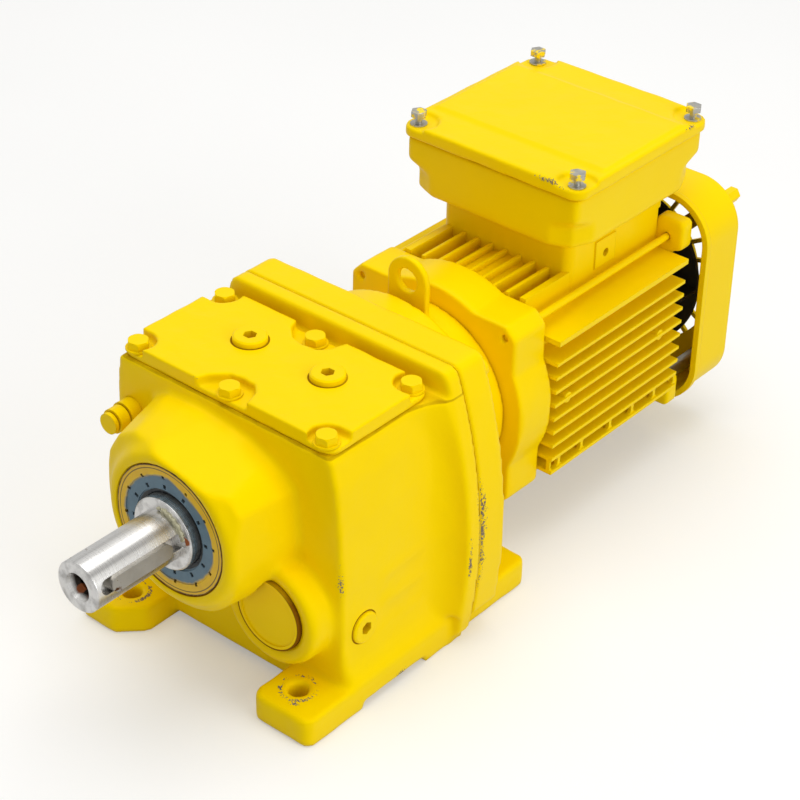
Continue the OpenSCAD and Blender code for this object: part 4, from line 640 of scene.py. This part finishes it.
# %% Cast skins
def welded_copy(node):
    """A copy of a CAD node's mesh with its loose triangles joined at their corners."""
    mesh = nodes[node].data.copy()
    work = bmesh.new()
    work.from_mesh(mesh)
    bmesh.ops.remove_doubles(work, verts=work.verts, dist=WELD)
    work.to_mesh(mesh)
    work.free()
    return mesh


def cast_skin(name, node, voxel_mm, passes, material, places=(), joints=(), wave_mm=0.12, wave_length=0.028):
    """A relaxed voxel skin of a CAD node, which rides on its body and is shown in its place: the points
    p + n w of the relaxed grid, moved along the normal n by the waves w and kept in the node's box."""
    block = bpy.data.objects.new(name + "_block", welded_copy(node))
    bpy.context.scene.collection.objects.link(block)
    grain = block.modifiers.new("grain", "REMESH")
    grain.mode = "VOXEL"
    grain.voxel_size = voxel_mm * MM
    grid = bpy.data.meshes.new_from_object(block.evaluated_get(bpy.context.evaluated_depsgraph_get()))
    bpy.data.objects.remove(block)
    count = len(grid.vertices)
    points = np.empty(count * 3)
    grid.vertices.foreach_get("co", points)
    points = points.reshape(-1, 3)
    edges = np.empty(len(grid.edges) * 2, int)
    grid.edges.foreach_get("vertices", edges)
    free = held(points, places, joints)
    points = relax(points, edges.reshape(-1, 2), passes, free)
    grid.vertices.foreach_set("co", points.ravel())
    grid.update()
    normals = np.empty(count * 3)
    grid.vertices.foreach_get("normal", normals)
    lift = wave_mm * MM * waves(points, wave_length, len(name)) * free
    low, high = (np.array(corner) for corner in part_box(node))
    points = np.clip(points + normals.reshape(-1, 3) * lift[:, None], low, high)
    grid.vertices.foreach_set("co", points.ravel())
    grid.polygons.foreach_set("use_smooth", np.ones(len(grid.polygons), bool))
    grid.update()
    grid.name = name
    piece = bpy.data.objects.new(name, grid)
    bpy.context.scene.collection.objects.link(piece)
    piece.data.materials.clear()
    piece.data.materials.append(material)
    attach(piece, "housing")
    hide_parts(node)
    print(name, "faces", len(grid.polygons))


FLANGE_FRONT, FLANGE_REAR, ADAPTER_FRONT = ("Y", 0.031), ("Y", 0.043), ("Y", 0.0435)
SEAL_BORE, CAP_BORE = ((0, 0, SHAFT_Z), "Y", 0.0452), ((MID_X, 0, MID_Z), "Y", 0.027)
cast_skin("case_casting", "gear_case", 1.9, 6, case_paint, wave_mm=0.25,
          joints=[FLANGE_REAR, FLANGE_FRONT], places=[SEAL_BORE, CAP_BORE])
cast_skin("adapter_casting", "motor_adapter", 1.7, 6, adapter_paint, joints=[ADAPTER_FRONT], wave_mm=0.25)
cast_skin("cover_casting", "top_cover", 1.0, 5, cover_paint, wave_mm=0.3, wave_length=0.022)
cast_skin("shield_casting", "drive_end_shield", 1.6, 6, motor_paint)
cast_skin("rear_shield_casting", "rear_shield", 1.6, 5, motor_paint)
cast_skin("box_casting", "terminal_box", 1.5, 6, motor_paint)
cast_skin("lid_casting", "box_lid", 1.1, 6, cover_paint, wave_mm=0.2)
cast_skin("eye_casting", "lifting_eye", 0.8, 5, adapter_paint)

# %% [markdown]
# The rest is made from arrays: a function gives the points and the faces, and one helper turns them into
# an object at the origin.

# %% Mesh from arrays
def add_mesh(name, points, faces, material, smooth=True):
    """Makes an object at the origin from arrays of points and of faces."""
    mesh = bpy.data.meshes.new(name)
    mesh.from_pydata(points.tolist(), [], faces)
    mesh.polygons.foreach_set("use_smooth", np.full(len(faces), smooth))
    mesh.update()
    piece = bpy.data.objects.new(name, mesh)
    bpy.context.scene.collection.objects.link(piece)
    piece.data.materials.append(material)
    return piece


print("helper ready:", add_mesh.__name__)

# %% [markdown]
# A little assembly grease was squeezed out between the shaft's shoulder and the shaft, and has dried into
# pale crumbs. Each crumb is a small ball whose radius swells and shrinks with direction, and they follow
# the corner in an arc, thick at its middle and thin at its ends.

# %% Grease crumbs on the shoulder
SHOULDER_Y, SHOULDER_RADIUS = -0.1283, 0.0178


def crumbs(count, seed):
    """For crumb k at angle a: centre (r cos a, SHOULDER_Y, SHAFT_Z + r sin a), and a surface of radius
    s (1 + 0.3 sin(3 u + k) cos(2 v)) over the turn u and the height v of a ball."""
    draw = np.random.default_rng(seed)
    around, along = 10, 7
    u, v = np.meshgrid(np.linspace(0, 2 * np.pi, around, endpoint=False), np.linspace(-1.5, 1.5, along))
    share = draw.beta(2.2, 2.0, count)
    angle = np.radians(2 + 100 * share)
    size = draw.uniform(0.0005, 0.0015, count) * (0.6 + 2 * share * (1 - share))
    out = SHOULDER_RADIUS + draw.uniform(0, 0.0022, count)
    k = np.arange(count)[:, None, None]
    bulge = size[:, None, None] * (1 + 0.3 * np.sin(3 * u + k) * np.cos(2 * v))
    ball = np.stack([bulge * np.cos(v) * np.cos(u), 0.7 * bulge * np.sin(v), bulge * np.cos(v) * np.sin(u)], -1)
    centre = np.stack([out * np.cos(angle), np.full(count, SHOULDER_Y), SHAFT_Z + out * np.sin(angle)], -1)
    points = (centre[:, None, None] + ball).reshape(-1, 3)
    row = (np.arange(along - 1)[:, None] * around + np.arange(around)).ravel()
    after = (np.arange(along - 1)[:, None] * around + (np.arange(around) + 1) % around).ravel()
    skin = np.stack([row, row + around, after + around, after], 1)
    caps = [list(range(around)), list(range(around * along - 1, around * (along - 1) - 1, -1))]
    faces = []
    for i in range(count):
        base = i * around * along
        faces += (skin + base).tolist() + [[j + base for j in cap] for cap in caps]
    return points, faces


grease, tree, shader, place = finish("grease_dried", roughness=0.55, ior=1.47)
fleck = put(tree, "ShaderNodeTexNoise", {"Vector": place, "Scale": 500.0, "Detail": 3.0}).outputs["Fac"]
pale = put(tree, "ShaderNodeMix", {"Factor": fleck, 6: linear("#A8A27C"), 7: linear("#E4E0C4")},
           data_type="RGBA").outputs[2]
tree.links.new(pale, shader.inputs["Base Color"])
rise = put(tree, "ShaderNodeBump", {"Height": fleck, "Strength": 1.0, "Distance": 0.1 * MM})
tree.links.new(rise.outputs[0], shader.inputs["Normal"])
grease_crumbs = add_mesh("grease_crumbs", *crumbs(130, 5), grease)
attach(grease_crumbs, "output")
print("grease crumbs, faces", len(grease_crumbs.data.polygons))

# %% [markdown]
# The photograph is a studio shot: a nearly white sweep, wide soft light from above, and a faint shadow to
# the right. The floor is pale paper, with a little glow of its own that only the camera sees.

# %% Floor
FLOOR_SIDE, FLOOR_GLOW = 14.0, 0.30


def sheet_grid(width, depth, columns, rows):
    """A flat grid: x runs from -width/2 to width/2 over the columns, y likewise over the rows, z is 0."""
    u, v = np.meshgrid(np.linspace(-0.5, 0.5, columns + 1), np.linspace(-0.5, 0.5, rows + 1))
    points = np.stack([u * width, v * depth, np.zeros_like(u)], -1).reshape(-1, 3)
    a = (np.arange(rows)[:, None] * (columns + 1) + np.arange(columns)).ravel()
    return points, np.stack([a, a + 1, a + columns + 2, a + columns + 1], 1).tolist()


sweep, tree, shader, place = finish("studio_sweep_paper", roughness=0.9, ior=1.4)
fibre = put(tree, "ShaderNodeTexNoise", {"Vector": place, "Scale": 3.0}).outputs["Fac"]
paper = put(tree, "ShaderNodeMix", {"Factor": fibre, 6: linear("#D6D6D6"), 7: linear("#DBDBDB")},
            data_type="RGBA").outputs[2]
tree.links.new(paper, shader.inputs["Base Color"])
rays = put(tree, "ShaderNodeLightPath").outputs
lift = put(tree, "ShaderNodeMath", {0: rays["Is Camera Ray"], 1: FLOOR_GLOW}, operation="MULTIPLY").outputs[0]
shader.inputs["Emission Color"].default_value = linear("#FFFEFA")
tree.links.new(lift, shader.inputs["Emission Strength"])
floor = add_mesh("studio_floor", *sheet_grid(FLOOR_SIDE, FLOOR_SIDE, 4, 4), sweep, smooth=False)
print("floor", FLOOR_SIDE, "m, faces", len(floor.data.polygons))

# %% [markdown]
# Where the camera looks past the floor it sees the world, an even pale tone. Reflections see it less
# bright than the camera does, and diffuse light less bright again, so that the lamps shape the object.

# %% World
# how bright the world is to diffuse rays, and how much more it is to reflections and to the camera
LEVEL, TO_REFLECTIONS, TO_CAMERA = 0.52, 0.22, 0.48
world = bpy.data.worlds.new("studio")
bpy.context.scene.world = world
world.use_nodes = True
world.node_tree.nodes.clear()
rays = put(world.node_tree, "ShaderNodeLightPath").outputs
level = put(world.node_tree, "ShaderNodeMath", {0: rays["Is Glossy Ray"], 1: TO_REFLECTIONS, 2: LEVEL},
            operation="MULTIPLY_ADD").outputs[0]
level = put(world.node_tree, "ShaderNodeMath", {0: rays["Is Camera Ray"], 1: TO_CAMERA, 2: level},
            operation="MULTIPLY_ADD").outputs[0]
glow = put(world.node_tree, "ShaderNodeBackground", {"Color": linear("#F0F0EF"), "Strength": level})
put(world.node_tree, "ShaderNodeOutputWorld", {"Surface": glow.outputs[0]})
print("world level", LEVEL, "plus", TO_REFLECTIONS, "in reflections and", TO_CAMERA, "for the camera")

# %% [markdown]
# Two area lamps shape the object: a wide one above and behind the left shoulder of the camera, and a
# weaker one from the right that keeps the long side readable. Both are large, so their shadows are soft.

# %% Lamps
MIDDLE = (0.0, 0.1, 0.12)


def area_lamp(name, spot, size, watts):
    """A square white lamp of the given size in metres at spot, turned towards the middle of the object."""
    data = bpy.data.lights.new(name, "AREA")
    data.shape = "SQUARE"
    data.size = size
    data.energy = watts
    lamp = bpy.data.objects.new(name, data)
    lamp.location = spot
    lamp.rotation_euler = (Vector(MIDDLE) - Vector(spot)).to_track_quat("-Z", "Y").to_euler()
    bpy.context.scene.collection.objects.link(lamp)


area_lamp("key_above", (-0.15, 0.25, 2.4), 2.2, 35.0)
area_lamp("fill_right", (2.5, 0.1, 1.1), 1.6, 26.0)

# %% [markdown]
# The camera stands where the photographer stood: its place, turn and lens were worked out from points of
# the object whose real positions are known, such as the shaft's end, the feet and the lid's corners.

# %% Camera
AZIMUTH, ELEVATION, ROLL = (math.radians(v) for v in (39.77, 33.29, 1.12))
PLACE = (0.82213, -0.89384, 0.96008)
PIXELS, FOCAL_PIXELS, CENTRE = 800, 2271.94, (396.89, 400.86)
SENSOR_MM = 36.0
flat = math.cos(ELEVATION)
back = Vector((math.sin(AZIMUTH) * flat, -math.cos(AZIMUTH) * flat, math.sin(ELEVATION)))
level_right = Vector((math.cos(AZIMUTH), math.sin(AZIMUTH), 0.0))
level_up = back.cross(level_right)
right = level_right * math.cos(ROLL) + level_up * math.sin(ROLL)
up = level_up * math.cos(ROLL) - level_right * math.sin(ROLL)
lens = bpy.data.cameras.new("photographer")
lens.sensor_width = SENSOR_MM
lens.lens = FOCAL_PIXELS / PIXELS * SENSOR_MM
lens.shift_x = (PIXELS / 2 - CENTRE[0]) / PIXELS
lens.shift_y = (CENTRE[1] - PIXELS / 2) / PIXELS
lens.clip_start = 0.05
camera = bpy.data.objects.new("photographer", lens)
camera.matrix_world = Matrix.Translation(PLACE) @ Matrix((right, up, back)).transposed().to_4x4()
bpy.context.scene.collection.objects.link(camera)
bpy.context.scene.camera = camera
bpy.context.scene.view_settings.view_transform = "Standard"
print("lens", round(lens.lens, 2), "mm")
